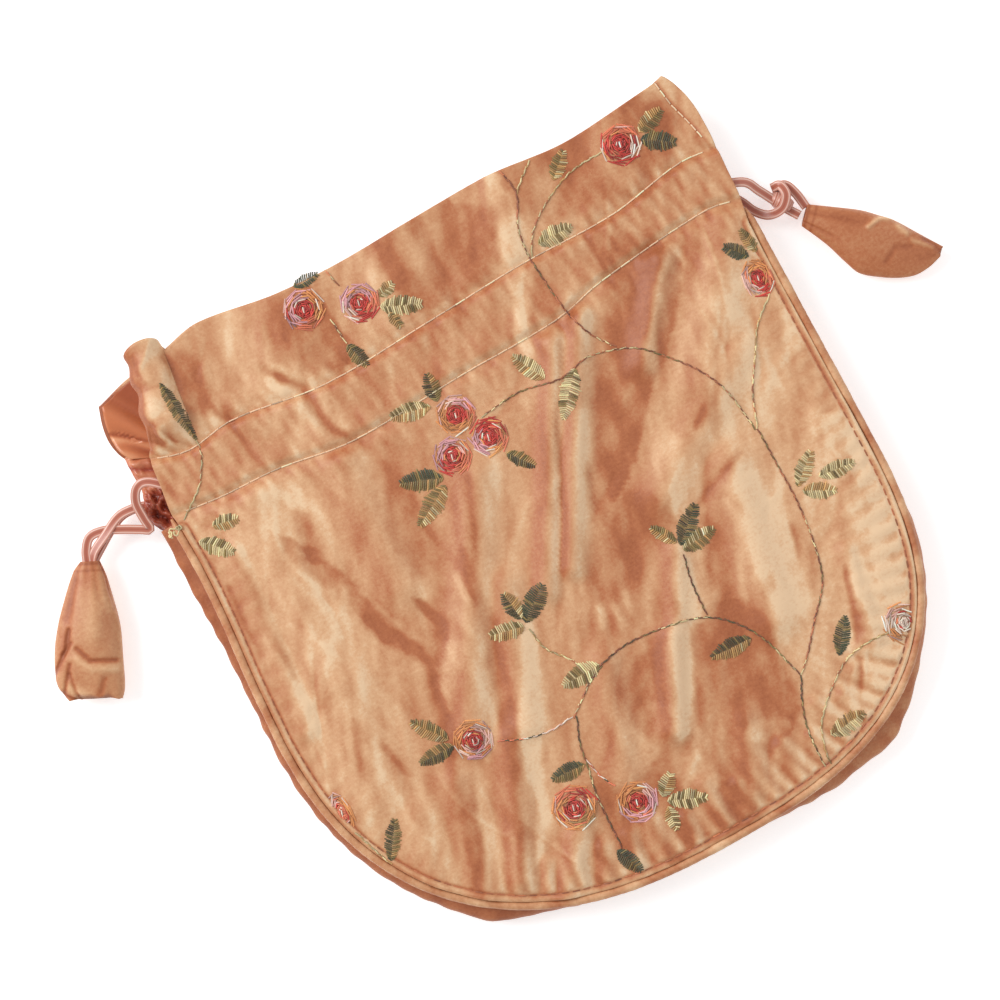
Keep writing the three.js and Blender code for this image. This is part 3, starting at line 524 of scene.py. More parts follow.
# %% Long folds and gathers
EASE = 0.35
STITCH_PINCH = 2.0
FOLD_SHARING = 0.4
FOLD_LIMIT = 2.6
FOLDS = [
    ((-9, 22), (-40, -32), 1.5, 4.6), ((-31, -37), (-45, -68), 1.4, 3.6), ((-24, -60), (-38, -77), 1.0, 3),
    ((23, 42), (-7, -10), 1.4, 2.8), ((31, 44), (1, -8), 1.5, 2.8), ((55, 47), (39, 27), 1.3, 3.4),
    ((72, 44), (50, 16), 1.4, 6), ((60, 18), (28, -3), 1.3, 5), ((46, -5), (38, -42), 1.4, 5),
    ((25, -16), (17, -31), 1.1, 2.8), ((14, -34), (4, -54), 1.5, 3), ((-3, -32), (-12, -58), 1.1, 4),
    ((61, -36), (56, -58), 1.0, 3), ((72, -8), (66, -46), 0.8, 7), ((-60, 42), (-61, -5), 0.9, 7),
    ((-68, 34), (-73, -12), 0.8, 2.8), ((-36, 40), (-37, 8), 1.0, 5), ((-60, -8), (-68, -34), 0.8, 7),
    ((-60, -44), (-64, -60), 0.7, 5), ((-48, -40), (-55, -68), 0.9, 4), ((-15, -4), (-27, -36), 1.1, 4),
    ((20, -60), (14, -76), 0.8, 3),
]
PUCKER_RISE, PUCKER_PITCH, PUCKER_REACH = 0.5, 11, 9
RUFFLE_RISE, RUFFLE_PITCH, RUFFLE_REACH = 1.1, 31, 12
FOLD_BLEND = 5
SEAM_GATHERS = 17
SEAM_GATHER_STEPS = 400
SEAM_GATHER_SHARES = (0.36, 0.70)
SEAM_GATHER_LENGTHS = [9, 6, 11, 7, 8]
SEAM_GATHER_INSET = 2.8
SEAM_GATHER_RISE = 0.7
SEAM_GATHER_WIDTH = 1.9


def distance_to_line(x, y, start, end):
    along = np.subtract(end, start).astype(float)
    share = np.clip(((x - start[0]) * along[0] + (y - start[1]) * along[1]) / (along @ along), 0, 1)
    return np.hypot(x - start[0] - share * along[0], y - start[1] - share * along[1]), share


def bottom_gathers():
    """Short ridges that start at the bottom seam and point into the front."""
    line = seam_line(SEAM_GATHER_STEPS)
    out = outward_of(line)
    ridges = []
    for k in range(SEAM_GATHERS):
        i = round(SEAM_GATHER_STEPS * lerp(*SEAM_GATHER_SHARES, k / (SEAM_GATHERS - 1)))
        reach = SEAM_GATHER_INSET + SEAM_GATHER_LENGTHS[k % len(SEAM_GATHER_LENGTHS)]
        start, end = line[i] - out[i] * SEAM_GATHER_INSET, line[i] - out[i] * reach
        ridges.append((start, end, SEAM_GATHER_RISE, SEAM_GATHER_WIDTH))
    return ridges


ALL_FOLDS = [*FOLDS, *bottom_gathers()]


def fold_lift(x, y):
    ridges = []
    for start, end, rise, width in ALL_FOLDS:
        away, _ = distance_to_line(x, y, start, end)
        ridges.append(rise * bell(away, width))
    below = 1 - smoothstep(y, lower_stitch(x) - 3, lower_stitch(x))
    highest = np.sum(np.array(ridges) ** FOLD_BLEND, 0) ** (1 / FOLD_BLEND)
    return below * np.minimum(highest + FOLD_SHARING * np.sum(ridges, 0), FOLD_LIMIT)


def swell(x, pitch):
    """Waves between 0 and 1."""
    return 0.5 + 0.5 * np.sin(math.tau * x / pitch)


def pucker_lift(x, y, stitch_y):
    away = np.abs(y - stitch_y)
    fade = smoothstep(away, 0, STITCH_PINCH) * (1 - smoothstep(away, STITCH_PINCH, PUCKER_REACH))
    return fade * PUCKER_RISE * swell(x + 0.35 * y, PUCKER_PITCH)


def ruffle_lift(x, y):
    share = smoothstep(y, upper_stitch(x), upper_stitch(x) + RUFFLE_REACH)
    return share * RUFFLE_RISE * swell(x - 0.3 * y, RUFFLE_PITCH)


def front_height(x, y):
    upper, lower = upper_stitch(x), lower_stitch(x)
    channel = (FRONT_CHANNEL_Z - FRONT_Z) * smoothstep(np.minimum(upper - y, y - lower), 0, STITCH_PINCH)
    ease = EASE * smoothstep(np.maximum(y - upper, lower - y), 0, 2 * STITCH_PINCH)
    gathers = pucker_lift(x, y, upper) + pucker_lift(x, y, lower)
    return FRONT_Z + SILK / 2 + channel + fold_lift(x, y) + gathers + ruffle_lift(x, y) + ease


# %% [markdown]
# Shot silk changes colour with every turn of the cloth, and the strokes paint that change in with the light and shade
# of the folds. Each stroke below is a fold, crease or smear seen in the silk: its line, its half widths at the two
# ends, how soft its left and right edges are, how much paler it is (a painted highlight, or painted shade where it is
# negative), and how far it lifts the cloth. Some are painted shadow, such as the dark bands beside the rolled end of
# the header. Shape and tone come from the same list, so they belong together.

# %% Strokes of light and shade
STROKES = [
    # header
    ([(-43, 87), (-44, 64)], (5, 4.5), (2.5, 2.5), 0.22, 0.1),
    ([(-27, 84), (-28.5, 76), (-26.5, 70), (-24, 61)], (7, 6), (0.7, 3), -0.40, -0.1),
    ([(-8.5, 83), (-7, 70)], (2.2, 2), (1.2, 1.2), 0.24, 0.1),
    ([(12, 85), (9, 74), (6, 61)], (16, 12), (4, 1.2), -0.32, -0.15),
    ([(30, 86), (26.5, 69), (21, 54), (14, 39)], (3.2, 2.4), (1.2, 1.2), 0.36, 0.25),
    ([(50, 83), (45, 74)], (3, 2.5), (1.6, 2), -0.26, -0.1),
    ([(68, 85), (67, 66)], (5.5, 5), (1.5, 3), -0.28, -0.1),
    ([(-57.5, 83), (-58.8, 67)], (3.2, 3), (2, 2.5), -0.34, -0.2),
    ([(-60.6, 85), (-63.2, 64)], (2.0, 1.6), (1.2, 1.2), -0.40, 0.0),
    ([(30, 76), (72, 76)], (12, 12), (4, 4), -0.26, 0.0),
    ([(-60, 77), (-36, 77)], (10, 10), (4, 4), -0.07, 0.0),
    ([(4, 84), (3, 72)], (2.6, 2.6), (1.5, 1.5), 0.20, 0.1),
    ([(-41, 62), (-40, 34)], (2.8, 2.4), (1.4, 1.6), 0.18, 0.15),
    ([(57, 84), (56, 66)], (3, 3), (1.5, 1.5), 0.14, 0.1),
    # the rolled left end of the header
    ([(-68.8, 87), (-71.4, 77), (-73.8, 70), (-75, 64)], (1.1, 0.9), (0.6, 0.6), -0.44, 0.0),
    ([(-70, 82), (-70.6, 77), (-71.9, 71), (-71.2, 64.5)], (0.7, 0.6), (0.4, 0.4), -0.72, -0.35),
    ([(-74, 68.8), (-72.2, 66.8), (-70, 63.6)], (0.6, 0.6), (0.4, 0.4), -0.72, -0.35),
    ([(-70.6, 70), (-72.6, 65.4)], (0.5, 0.5), (0.3, 0.3), -0.6, -0.3),
    ([(-69.6, 67.6), (-67.4, 63)], (0.5, 0.5), (0.3, 0.3), -0.5, -0.3),
    ([(-72.8, 73), (-73.2, 67)], (0.7, 0.6), (0.4, 0.4), 0.44, 0.3),
    ([(-70.8, 68.6), (-70, 65.6)], (0.7, 0.6), (0.4, 0.4), 0.3, 0.2),
    ([(-66.9, 86.6), (-67.6, 81)], (0.5, 0.5), (0.3, 0.3), -0.36, -0.2),
    ([(-68.8, 77), (-68.4, 70.5)], (2.6, 2.2), (1.4, 1.4), 0.30, 0.2),
    ([(-66, 86), (-66.6, 79)], (1.2, 1.0), (0.7, 0.7), 0.16, 0.15),
    ([(-60.9, 85), (-61.8, 76.5), (-63, 72)], (0.9, 0.8), (0.5, 0.5), -0.40, -0.2),
    # channel
    ([(-54, 67), (-53, 50)], (0.9, 0.8), (0.5, 0.5), -0.34, -0.3),
    ([(-57, 68), (-53, 60)], (0.8, 0.6), (0.4, 0.4), -0.30, -0.2),
    ([(-42, 70), (-36, 60), (-35, 52), (-31, 43)], (1.0, 0.9), (0.5, 0.5), -0.55, -0.45),
    ([(-39.6, 70), (-33.6, 60), (-32.6, 52), (-28.6, 43)], (1.2, 1.2), (0.7, 0.7), 0.30, 0.3),
    ([(-44.4, 69), (-38.4, 60), (-37.4, 52), (-33.6, 45)], (1.2, 1.0), (0.7, 0.7), 0.24, 0.2),
    ([(41, 63), (42, 50)], (0.6, 0.5), (0.4, 0.4), -0.30, -0.2),
    # body, left of the middle
    ([(-58, 47), (-58, 22), (-58, 2)], (14, 12), (4, 6), 0.20, 0.1),
    ([(-53.5, 24), (-50.5, 24)], (2.6, 2.2), (1.5, 1.5), -0.40, -0.2),
    ([(-50, 35), (-48.5, 14)], (2.6, 2.2), (1.6, 1.6), -0.42, -0.1),
    ([(-18, 42), (-17, 18)], (6, 6), (3, 3), -0.12, 0.0),
    ([(-29, 2), (-28, -12)], (3, 3), (2, 2), -0.20, -0.05),
    ([(-20, -58), (-21, -77)], (3, 3), (2, 2), -0.20, -0.05),
    ([(-56, 31), (-53, 20), (-48, 8), (-43, -5)], (3.2, 2.4), (0.8, 2.0), -0.42, -0.25),
    ([(-29, 44), (-29, 22), (-30, 5)], (5, 4), (3, 3), -0.30, -0.15),
    ([(-75, 39), (-74, 10)], (1, 0.8), (0.6, 0.6), -0.36, -0.2),
    ([(-69, 39), (-70, -2)], (1.1, 0.9), (0.7, 0.7), -0.34, -0.25),
    ([(-10, 24), (-15, 12), (-21, 0)], (0.8, 0.9), (0.5, 0.5), -0.50, -0.35),
    ([(-20, 8), (-23, -10), (-27, -22), (-31, -35), (-35, -50), (-40, -60), (-46, -76)],
     (2.2, 2.3), (1.0, 0.9), -0.48, -0.3),
    ([(-60, -24), (-60, -48)], (2.2, 1.8), (1.2, 1.2), -0.28, -0.1),
    ([(-17, -56), (-17, -80)], (3, 3), (1.6, 1.6), -0.24, -0.1),
    ([(-48, 5), (-40, -12)], (1.5, 1.7), (0.7, 0.9), -0.42, -0.2),
    ([(-36, 3), (-33, -5), (-38, -14)], (1.5, 1.7), (0.8, 0.8), -0.42, -0.2),
    ([(-39, -12), (-42, -18), (-46, -40), (-50, -50), (-53, -62), (-56, -67)], (2.2, 2.6), (1.0, 1.4), -0.40, -0.2),
    ([(-24, 3), (-31, -10), (-41, -24)], (2.6, 2.6), (1.2, 1.2), 0.28, 0.3),
    ([(-15, -14), (-22, -30), (-30, -45), (-38, -60), (-42, -68)], (2.8, 3.2), (1.2, 1.4), 0.32, 0.25),
    ([(-28, -66), (-36, -79)], (1.6, 1.4), (0.8, 0.8), 0.28, 0.2),
    ([(-24, -66), (-30, -79)], (1.4, 1.4), (0.8, 0.8), -0.36, -0.2),
    ([(-67, 3), (-67, -25), (-62, -52)], (8, 7), (4, 4), 0.20, 0.1),
    ([(-62, -14), (-67, -29)], (1.4, 1.2), (0.8, 0.8), -0.36, -0.15),
    ([(-60, -21), (-57, -34)], (1.2, 1.0), (0.7, 0.7), -0.32, -0.15),
    ([(-9, -59), (-9, -82)], (7, 8), (3, 3), -0.28, -0.1),
    ([(-12, -65), (-15, -80)], (0.8, 0.8), (0.5, 0.5), 0.32, 0.2),
    ([(-8, -66), (-8, -82)], (0.8, 0.8), (0.5, 0.5), 0.32, 0.2),
    ([(-4, -65), (-2, -80)], (0.8, 0.8), (0.5, 0.5), 0.32, 0.2),
    # body, right of the middle
    ([(27, 46), (22, 36), (15, 26), (10, 15), (4, 2), (-2, -8), (-10, -20)], (0.55, 0.5), (0.35, 0.35), -0.40, -0.25),
    ([(29, 45), (24, 36), (17, 26), (12, 15), (6, 2), (0, -9)], (1.2, 1.0), (0.7, 0.7), 0.20, 0.15),
    ([(16, 12), (12, 0)], (0.6, 0.5), (0.4, 0.4), -0.28, -0.15),
    ([(56.5, 52), (38, 32), (25, 16), (14, -1)], (11.5, 5.0), (0.7, 4.0), -0.44, -0.3),
    ([(64, 40), (49, 21), (30, 3)], (3.6, 4), (2, 2), 0.20, 0.1),
    ([(50, 22), (44, 8)], (3, 3), (1.8, 1.8), -0.18, -0.1),
    ([(36, 10), (30, -6)], (5, 4), (2.5, 2.5), 0.16, 0.1),
    ([(57, 48), (49, 38), (40, 28)], (1.5, 1.2), (0.6, 0.6), 0.40, 0.3),
    ([(72, 33), (62, 14), (60, -1)], (12, 10), (3, 5), 0.20, 0.15),
    ([(62, 27), (58, 19)], (1, 0.8), (0.5, 0.5), -0.42, -0.25),
    ([(47, 12), (42, 7)], (1, 0.8), (0.5, 0.5), -0.42, -0.25),
    ([(34, -10), (50, -2)], (0.9, 0.8), (0.5, 0.5), -0.42, -0.25),
    ([(28, -4), (17, -9), (4, -17)], (7, 6), (3.5, 3.5), -0.30, -0.2),
    ([(15, -2), (14, -17)], (2.6, 2.2), (1.4, 1.4), -0.22, -0.1),
    ([(2, -18), (0, -25)], (0.7, 0.6), (0.4, 0.4), 0.32, 0.2),
    ([(6, -20), (4, -28)], (0.7, 0.6), (0.4, 0.4), 0.32, 0.2),
    ([(9.5, -18), (8, -26)], (0.7, 0.6), (0.4, 0.4), 0.30, 0.2),
    ([(35, -13), (32.5, -22), (30, -31), (25.5, -42)], (2.0, 2.8), (1.2, 1.2), -0.36, -0.3),
    ([(41, -12), (37, -50)], (2.5, 3), (1.5, 1.5), 0.22, 0.1),
    ([(2.5, -46), (-4.5, -57)], (3, 3), (1.5, 1.5), 0.36, 0.15),
    ([(66, -44), (50, -74)], (8, 7), (4, 4), 0.28, 0.05),
    ([(-10, -24), (10, -26)], (5, 5), (3, 3), -0.12, 0.0),
    ([(21, 24), (18, 14)], (2.5, 2.5), (1.5, 1.5), 0.15, 0.05),
    ([(24, -14), (22, -35)], (3, 2.8), (1.4, 1.4), 0.30, 0.2),
    ([(46, -7), (43, -43)], (5.5, 5), (2.5, 2.5), 0.26, 0.2),
    ([(52, -23), (50, -33)], (1, 0.8), (0.5, 0.5), -0.42, -0.2),
    ([(16, -30), (12, -41), (4, -57)], (3.2, 2.8), (1.0, 1.0), 0.46, 0.3),
    ([(1, -32), (-2, -52)], (3.4, 3.0), (1.6, 1.6), -0.28, -0.2),
    ([(27, -32), (26, -50), (24, -66)], (10, 9), (2.4, 3), -0.34, -0.25),
    ([(3, -60), (6, -76)], (4, 4), (2, 2), 0.20, 0.05),
    ([(-24, -32), (-28, -48)], (2.5, 2.5), (1.5, 1.5), 0.16, 0.05),
    ([(18, -64), (29, -64.5)], (1.9, 1.7), (1, 1), 0.30, 0.15),
    ([(8, -71), (7, -82)], (2.5, 2.6), (1.4, 1.4), -0.32, -0.15),
    ([(59, -38), (53, -57)], (0.8, 0.8), (0.45, 0.45), -0.50, -0.3),
    ([(52, -59), (48, -67)], (0.8, 0.7), (0.45, 0.45), -0.50, -0.3),
    ([(70, -3), (70, -30), (63, -52)], (9, 8), (3, 4), 0.33, 0.1),
    ([(52, 2), (54, -28), (50, -60)], (7, 8), (3.5, 3.5), 0.18, 0.1),
    ([(10, -34), (7, -58), (2, -82)], (13, 15), (5, 4), -0.20, 0.0),
    ([(44, -48), (40, -74)], (5, 6), (2.5, 2.5), 0.16, 0.1),
]
HEM = [(73.6, 86.5), (74.8, 78.3), (76.6, 72.4), (78.4, 63.6)]


def line_fields(x, y, points):
    """Distance to a line, its sign (left of the line is positive) and the share of the way along it."""
    best, signed, share = np.full_like(x, 1e9), np.ones_like(x), np.zeros_like(x)
    along = lengths_along(np.array(points, float))
    for k in range(len(points) - 1):
        (ax, ay), (bx, by) = points[k], points[k + 1]
        away, s = distance_to_line(x, y, points[k], points[k + 1])
        nearer = away < best
        best = np.where(nearer, away, best)
        signed = np.where(nearer, np.sign((bx - ax) * (y - ay) - (by - ay) * (x - ax)), signed)
        share = np.where(nearer, (along[k] + s * (along[k + 1] - along[k])) / along[-1], share)
    return best, signed, share


def drawn_waves(x, y, seed, shortest, longest, count=9, lean=None, spread=180.0):
    """A smooth random field between about -1 and 1: waves of drawn lengths, directions and phases added up."""
    draw = np.random.default_rng(seed)
    field = np.zeros_like(x)
    for _ in range(count):
        angle = math.radians(draw.uniform(0, 360) if lean is None else draw.normal(lean, spread))
        pitch = draw.uniform(shortest, longest)
        phase = draw.uniform(0, math.tau)
        field += np.sin(math.tau * (x * math.cos(angle) + y * math.sin(angle)) / pitch + phase)
    return field / math.sqrt(count)


STROKE_CONTRAST = 1.05
THIN_STROKE = 1.7
RAGGED_WIDTH = 5
FINE_WANDER = 0.35
SLOW_WANDER = (1.0, 1.2)


def stroke_fields(x, y):
    """Sum of the strokes, on a plan that wanders a little, so that no edge is straight."""
    lift, tone = np.zeros_like(x), np.zeros_like(x)
    fine_x, fine_y = (FINE_WANDER * drawn_waves(x, y, seed, 2.6, 6) for seed in (62, 64))
    slow_x, slow_y = (far * drawn_waves(x, y, seed, 12, 26) for far, seed in zip(SLOW_WANDER, (61, 63)))
    uneven = np.clip(0.85 + 0.30 * drawn_waves(x, y, 65, 6, 16), 0.3, 1.3)
    for points, widths, softs, pale, rise in STROKES:
        ragged = min(1.0, max(widths) / RAGGED_WIDTH)
        slow = 0.25 + 0.75 * ragged
        away, signed, share = line_fields(
            x + slow * slow_x + ragged * fine_x, y + slow * slow_y + ragged * fine_y, points
        )
        taper = np.sqrt(np.clip(1 - (2 * share - 1) ** 4, 0.02, 1))
        half = lerp(widths[0], widths[1], share) * taper
        soft = np.where(signed > 0, softs[0], softs[1])
        if max(widths) < THIN_STROKE:
            mask = bell(away, 0.55 * half + 0.5) * taper
        else:
            mask = 1 - smoothstep(away, np.maximum(half - soft, -0.5), half + soft)
        # Painted highlight where pale is positive, painted shade where it is negative.
        tone += STROKE_CONTRAST * pale * mask * uneven
        lift += rise * bell(away, 0.9 * half + 0.7) * taper
    return lift, tone


# %% [markdown]
# Fine relief: short crumples laid by a seeded draw in the directions that the cloth is pulled, gathers along the seam
# and the rows of stitches, the ridge and groove beside the piping, and the narrow hem of the header's right edge.

# %% Fine relief
CRUMPLES, CRUMPLE_SEED, CRUMPLE_BOX = 330, 11, (-80, 80, -84, 88)
CRUMPLE_LEAN, CRUMPLE_LEFT_LEAN, CRUMPLE_SPREAD = 64, 84, 22
SEAM_GATHER_REACH = 7.0
SEAM_GATHER_LIFT = 0.34
STITCH_GATHER_LIFT = 0.10
EDGE_RIDGE, EDGE_GROOVE = 0.26, 0.22
EDGE_RIDGE_INSET, EDGE_GROOVE_INSET = 0.5, 1.5
HEM_RISE, HEM_GROOVE = 0.26, 0.2


def crumple_fields(x, y, count, seed, box):
    """Short soft creases in drawn places, mostly along the pull of the cloth."""
    draw = np.random.default_rng(seed)
    lift = np.zeros_like(x)
    for _ in range(count):
        cx, cy = draw.uniform(box[0], box[1]), draw.uniform(box[2], box[3])
        angle = math.radians(draw.normal(CRUMPLE_LEAN if cx > -20 else CRUMPLE_LEFT_LEAN, CRUMPLE_SPREAD))
        length, width = draw.uniform(3, 12), draw.uniform(0.5, 1.8)
        rise = draw.uniform(0.05, 0.22) * draw.choice([-1, 1])
        dx, dy = x - cx, y - cy
        u = dx * math.cos(angle) + dy * math.sin(angle)
        bend = draw.uniform(-0.03, 0.03)
        v = -dx * math.sin(angle) + dy * math.cos(angle) + bend * u * u
        lift += rise * np.exp(-((u / length) ** 2) - (v / width) ** 2)
    return lift


def seam_distance(x, y):
    """How far each point lies from the seam, and how far along the seam its nearest point is."""
    flat = np.stack([x.ravel(), y.ravel()], -1)
    along = lengths_along(seam)
    best = np.full(len(flat), 1e9)
    nearest = np.zeros(len(flat), int)
    for k in range(len(seam)):
        away = (flat[:, 0] - seam[k, 0]) ** 2 + (flat[:, 1] - seam[k, 1]) ** 2
        nearer = away < best
        best, nearest = np.where(nearer, away, best), np.where(nearer, k, nearest)
    past = np.einsum("ij,ij->i", flat - seam[nearest], directions(seam)[nearest])
    past = np.where((nearest == 0) | (nearest == len(seam) - 1), 0, past)
    away = np.sqrt(np.maximum(best - past**2, 0))
    return away.reshape(x.shape), (along[nearest] + past).reshape(x.shape)


SEAM_LENGTH = lengths_along(seam)[-1]


def seam_gathers(away, where):
    """Small puckers that the seam pulls into the silk, deeper round the bottom."""
    share = where / SEAM_LENGTH
    deep = 0.25 + 0.75 * smoothstep(share, 0.3, 0.4) * (1 - smoothstep(share, 0.75, 0.9))
    wave = np.sin(math.tau * (where / 4.3 + 0.55 * np.sin(where / 17.0)) + 0.25 * away)
    fade = np.exp(-away / SEAM_GATHER_REACH) * smoothstep(away, 1.6, 3)
    return SEAM_GATHER_LIFT * deep * fade * wave


def stitch_gathers(x, y, seed):
    """Small puckers across the two rows of stitches, and the groove that each row pulls in."""
    phases = np.random.default_rng(seed).uniform(0, math.tau, 4)
    lift = np.zeros_like(x)
    for stitch_y in (upper_stitch(x), lower_stitch(x)):
        away = np.abs(y - stitch_y)
        wave = (
            np.sin(math.tau * (x + 0.3 * (y - stitch_y)) / 3.7 + phases[0] + np.sin(x / 9))
            + 0.7 * np.sin(math.tau * (x - 0.2 * (y - stitch_y)) / 6.9 + phases[1])
            + 0.4 * np.sin(math.tau * x / 2.3 + phases[2])
        )
        lift += STITCH_GATHER_LIFT * wave * smoothstep(away, 0, 1.2) * np.exp(-away / 5.5)
        lift -= STITCH_GATHER_LIFT * bell(away, 0.45)
    return lift


def fine_relief(x, y):
    """Everything finer than the folds: how far it lifts the cloth, and how much paler it makes it."""
    lift, tone = stroke_fields(x, y)
    crumple = crumple_fields(x, y, CRUMPLES, CRUMPLE_SEED, CRUMPLE_BOX)
    away, where = seam_distance(x, y)
    calm = 0.25 + 0.75 * smoothstep(away, 0, 6)
    gathers = seam_gathers(away, where) + stitch_gathers(x, y, 5)
    edge = EDGE_RIDGE * bell(away - EDGE_RIDGE_INSET, 0.5) - EDGE_GROOVE * bell(away - EDGE_GROOVE_INSET, 0.45)
    # Painted shade in the groove beside the piping.
    groove_shade = -0.30 * bell(away - EDGE_GROOVE_INSET, 0.5)
    hem_away, hem_side, _ = line_fields(x, y, HEM)
    in_header = smoothstep(y, upper_stitch(x) - 1, upper_stitch(x) + 1)
    hem_fold = np.where(hem_side > 0, HEM_RISE * smoothstep(hem_away, 0.1, 0.9), 0.0)
    hem = in_header * (hem_fold - HEM_GROOVE * bell(hem_away, 0.5))
    # Painted light on the hem's raised side and painted shade in its groove.
    hem_light_and_shade = in_header * (np.where(hem_side > 0, 0.10, 0.0) - 0.28 * bell(hem_away, 0.6))
    channel = smoothstep(np.minimum(upper_stitch(x) - y, y - lower_stitch(x)), 0, 2)
    total = (lift + crumple) * calm + gathers + edge + hem
    streaks = 0.06 * drawn_waves(x, y, 71, 2.2, 7, 14, -25, 14) + 0.06 * drawn_waves(x, y, 72, 8, 26, 10, -20, 25)
    # The returned tone adds painted light and shade, paler where crumples and gathers rise and darker where they sink.
    # It is also a little darker in the channel.
    return total, tone + streaks + 0.7 * crumple + 1.1 * gathers + groove_shade + hem_light_and_shade - 0.10 * channel


# %% [markdown]
# The panel's grid blends between its four edges, as a cut panel's threads do. At the header's left end the cloth is
# rolled over and under itself, so those columns turn over a crest.

# %% Front panel
PANEL_COLUMNS = 312
HEADER_ROWS = 40
CHANNEL_ROWS = 28
BODY_ROWS = 208
ROLL_SHARE = 9 / 56
EDGE_CROWDING = 0.5
BOTTOM_CROWDING = 0.3
columns_even = np.linspace(0, 1, PANEL_COLUMNS + 1)
COLUMN_SHARES = columns_even - EDGE_CROWDING * np.sin(math.tau * columns_even) / math.tau
rows_even = np.linspace(0, 1, BODY_ROWS + 1)
ROW_SHARES = rows_even + BOTTOM_CROWDING * rows_even * (1 - rows_even)
ROLL_VALLEY_TOP_X = -60.3
ROLL_VALLEY_FOOT_X = -64.0
ROLL_LEFT_TOP_X = -69.2
ROLL_LEFT_FOOT_X = -75.2
ROLL_HEIGHT = 3.4
ROLL_DEPTH = 2.6
ROLL_TURN = math.radians(228)
ROLL_REACH = 4.4
ROLL_SQUARENESS = 0.55
ROLL_MERGE = 0.88
ROLL_RELIEF = 1.6
ROLL_WANDER = 0.35
CHANNEL_LEAN = 1.9
CREASE_DEPTH = 0.14


def mouth_row(left_x, right_x, valley_x, height_at, c):
    rolled, flat = c / ROLL_SHARE, (c - ROLL_SHARE) / (1 - ROLL_SHARE)
    x = np.where(rolled < 1, lerp(left_x, valley_x, rolled), lerp(valley_x, right_x, flat))
    return np.stack([x, height_at(x)], -1)


def body_grid(top, v, u, outward=0.0):
    """Rows from the lower stitches to the bottom seam, blended between four edges, at shares v down and u across."""
    left_curve = curve_between(0, CORNER_ANGLE, outward)
    right_curve = curve_between(math.pi, math.pi - CORNER_ANGLE, outward)
    left = at_shares(np.array([top[0], *left_side(SIDE_TOP_Y, outward), *left_curve]), v)
    right = at_shares(np.array([top[-1], (right_curve[0][0], SIDE_TOP_Y), *right_curve]), v)
    bottom = at_shares(curve_between(CORNER_ANGLE, math.pi - CORNER_ANGLE, outward), u)
    u, v = u[None, :, None], v[1:, None, None]
    sides = lerp(left[1:, None], right[1:, None], u)
    ends = lerp(top[None], bottom[None], v)
    corners = lerp(lerp(top[0], top[-1], u), lerp(bottom[0], bottom[-1], u), v)
    return sides + ends - corners


def with_height(plan, height_at):
    return np.concatenate([plan, height_at(plan[..., 0], plan[..., 1])[..., None]], -1)


def rolled_edge(row, height):
    """Turns a header row's left end over its crest and under itself."""
    turned = float(smoothstep(height, 0, 0.3))
    roll = int(np.searchsorted(COLUMN_SHARES, ROLL_SHARE))
    valley = row[roll]
    left_x = lerp(ROLL_LEFT_FOOT_X, ROLL_LEFT_TOP_X, height)
    half = (valley[0] - left_x) / 2
    c = COLUMN_SHARES[:roll] / ROLL_SHARE
    angle = ROLL_TURN * (1 - c)
    up = np.sin(angle)
    rolled = np.stack(
        [
            valley[0] - half + half * np.cos(angle),
            valley[1] + ROLL_REACH * height * np.maximum(np.maximum(up, 0) ** ROLL_SQUARENESS, 0.35 * (1 - c)),
            valley[2] + np.where(up > 0, ROLL_HEIGHT, ROLL_DEPTH) * up,
        ],
        -1,
    )
    row = row.copy()
    row[:roll] = lerp(row[:roll], rolled, turned)
    return row


def front_plan():
    c = COLUMN_SHARES
    edge = mouth_row(MOUTH_LEFT_X, HEADER_RIGHT_X, ROLL_VALLEY_TOP_X, front_edge, c)
    upper = mouth_row(MOUTH_LEFT_X + CHANNEL_LEAN, MOUTH_RIGHT_X, ROLL_VALLEY_FOOT_X, upper_stitch, c)
    lower = mouth_row(MOUTH_LEFT_X, MOUTH_RIGHT_X - 0.6, ROLL_VALLEY_FOOT_X, lower_stitch, c)
    header = np.stack([lerp(edge, upper, r / HEADER_ROWS) for r in range(HEADER_ROWS)])
    share = np.arange(HEADER_ROWS) / HEADER_ROWS
    header[..., 0] += HEADER_RIGHT_BOW * np.sin(math.pi * share**0.75)[:, None] * smoothstep(c, 0.86, 1)
    channel = [lerp(upper, lower, r / CHANNEL_ROWS) for r in range(CHANNEL_ROWS + 1)]
    return np.concatenate([header, np.stack(channel), body_grid(lower, ROW_SHARES, c)])


plan = front_plan()
plan_x, plan_y = plan[..., 0], plan[..., 1]
fine_lift, painted = fine_relief(plan_x, plan_y)
heights = np.maximum(front_height(plan_x, plan_y) + fine_lift, FRONT_Z + SILK / 2 - CREASE_DEPTH)
front_grid = np.concatenate([plan, heights[..., None]], -1)
for r in range(HEADER_ROWS):
    front_grid[r] = rolled_edge(front_grid[r], 1 - r / HEADER_ROWS)

# The rolled cloth is creased, and painted with the strokes' light and shade, by where it ends up.
roll_columns = int(np.searchsorted(COLUMN_SHARES, ROLL_SHARE))
roll = front_grid[:HEADER_ROWS, :roll_columns]
roll_lift, roll_tone = fine_relief(roll[..., 0], roll[..., 1])
merged = smoothstep(COLUMN_SHARES[:roll_columns], ROLL_MERGE * ROLL_SHARE, ROLL_SHARE)[None]
painted[:HEADER_ROWS, :roll_columns] = lerp(roll_tone, painted[:HEADER_ROWS, :roll_columns], merged)
roll[..., 2] += ROLL_RELIEF * (1 - merged) * np.clip(roll_lift, -0.5, 0.5)
roll[..., 0] += ROLL_WANDER * (1 - merged) * drawn_waves(roll[..., 0], roll[..., 1], 91, 3.5, 9)

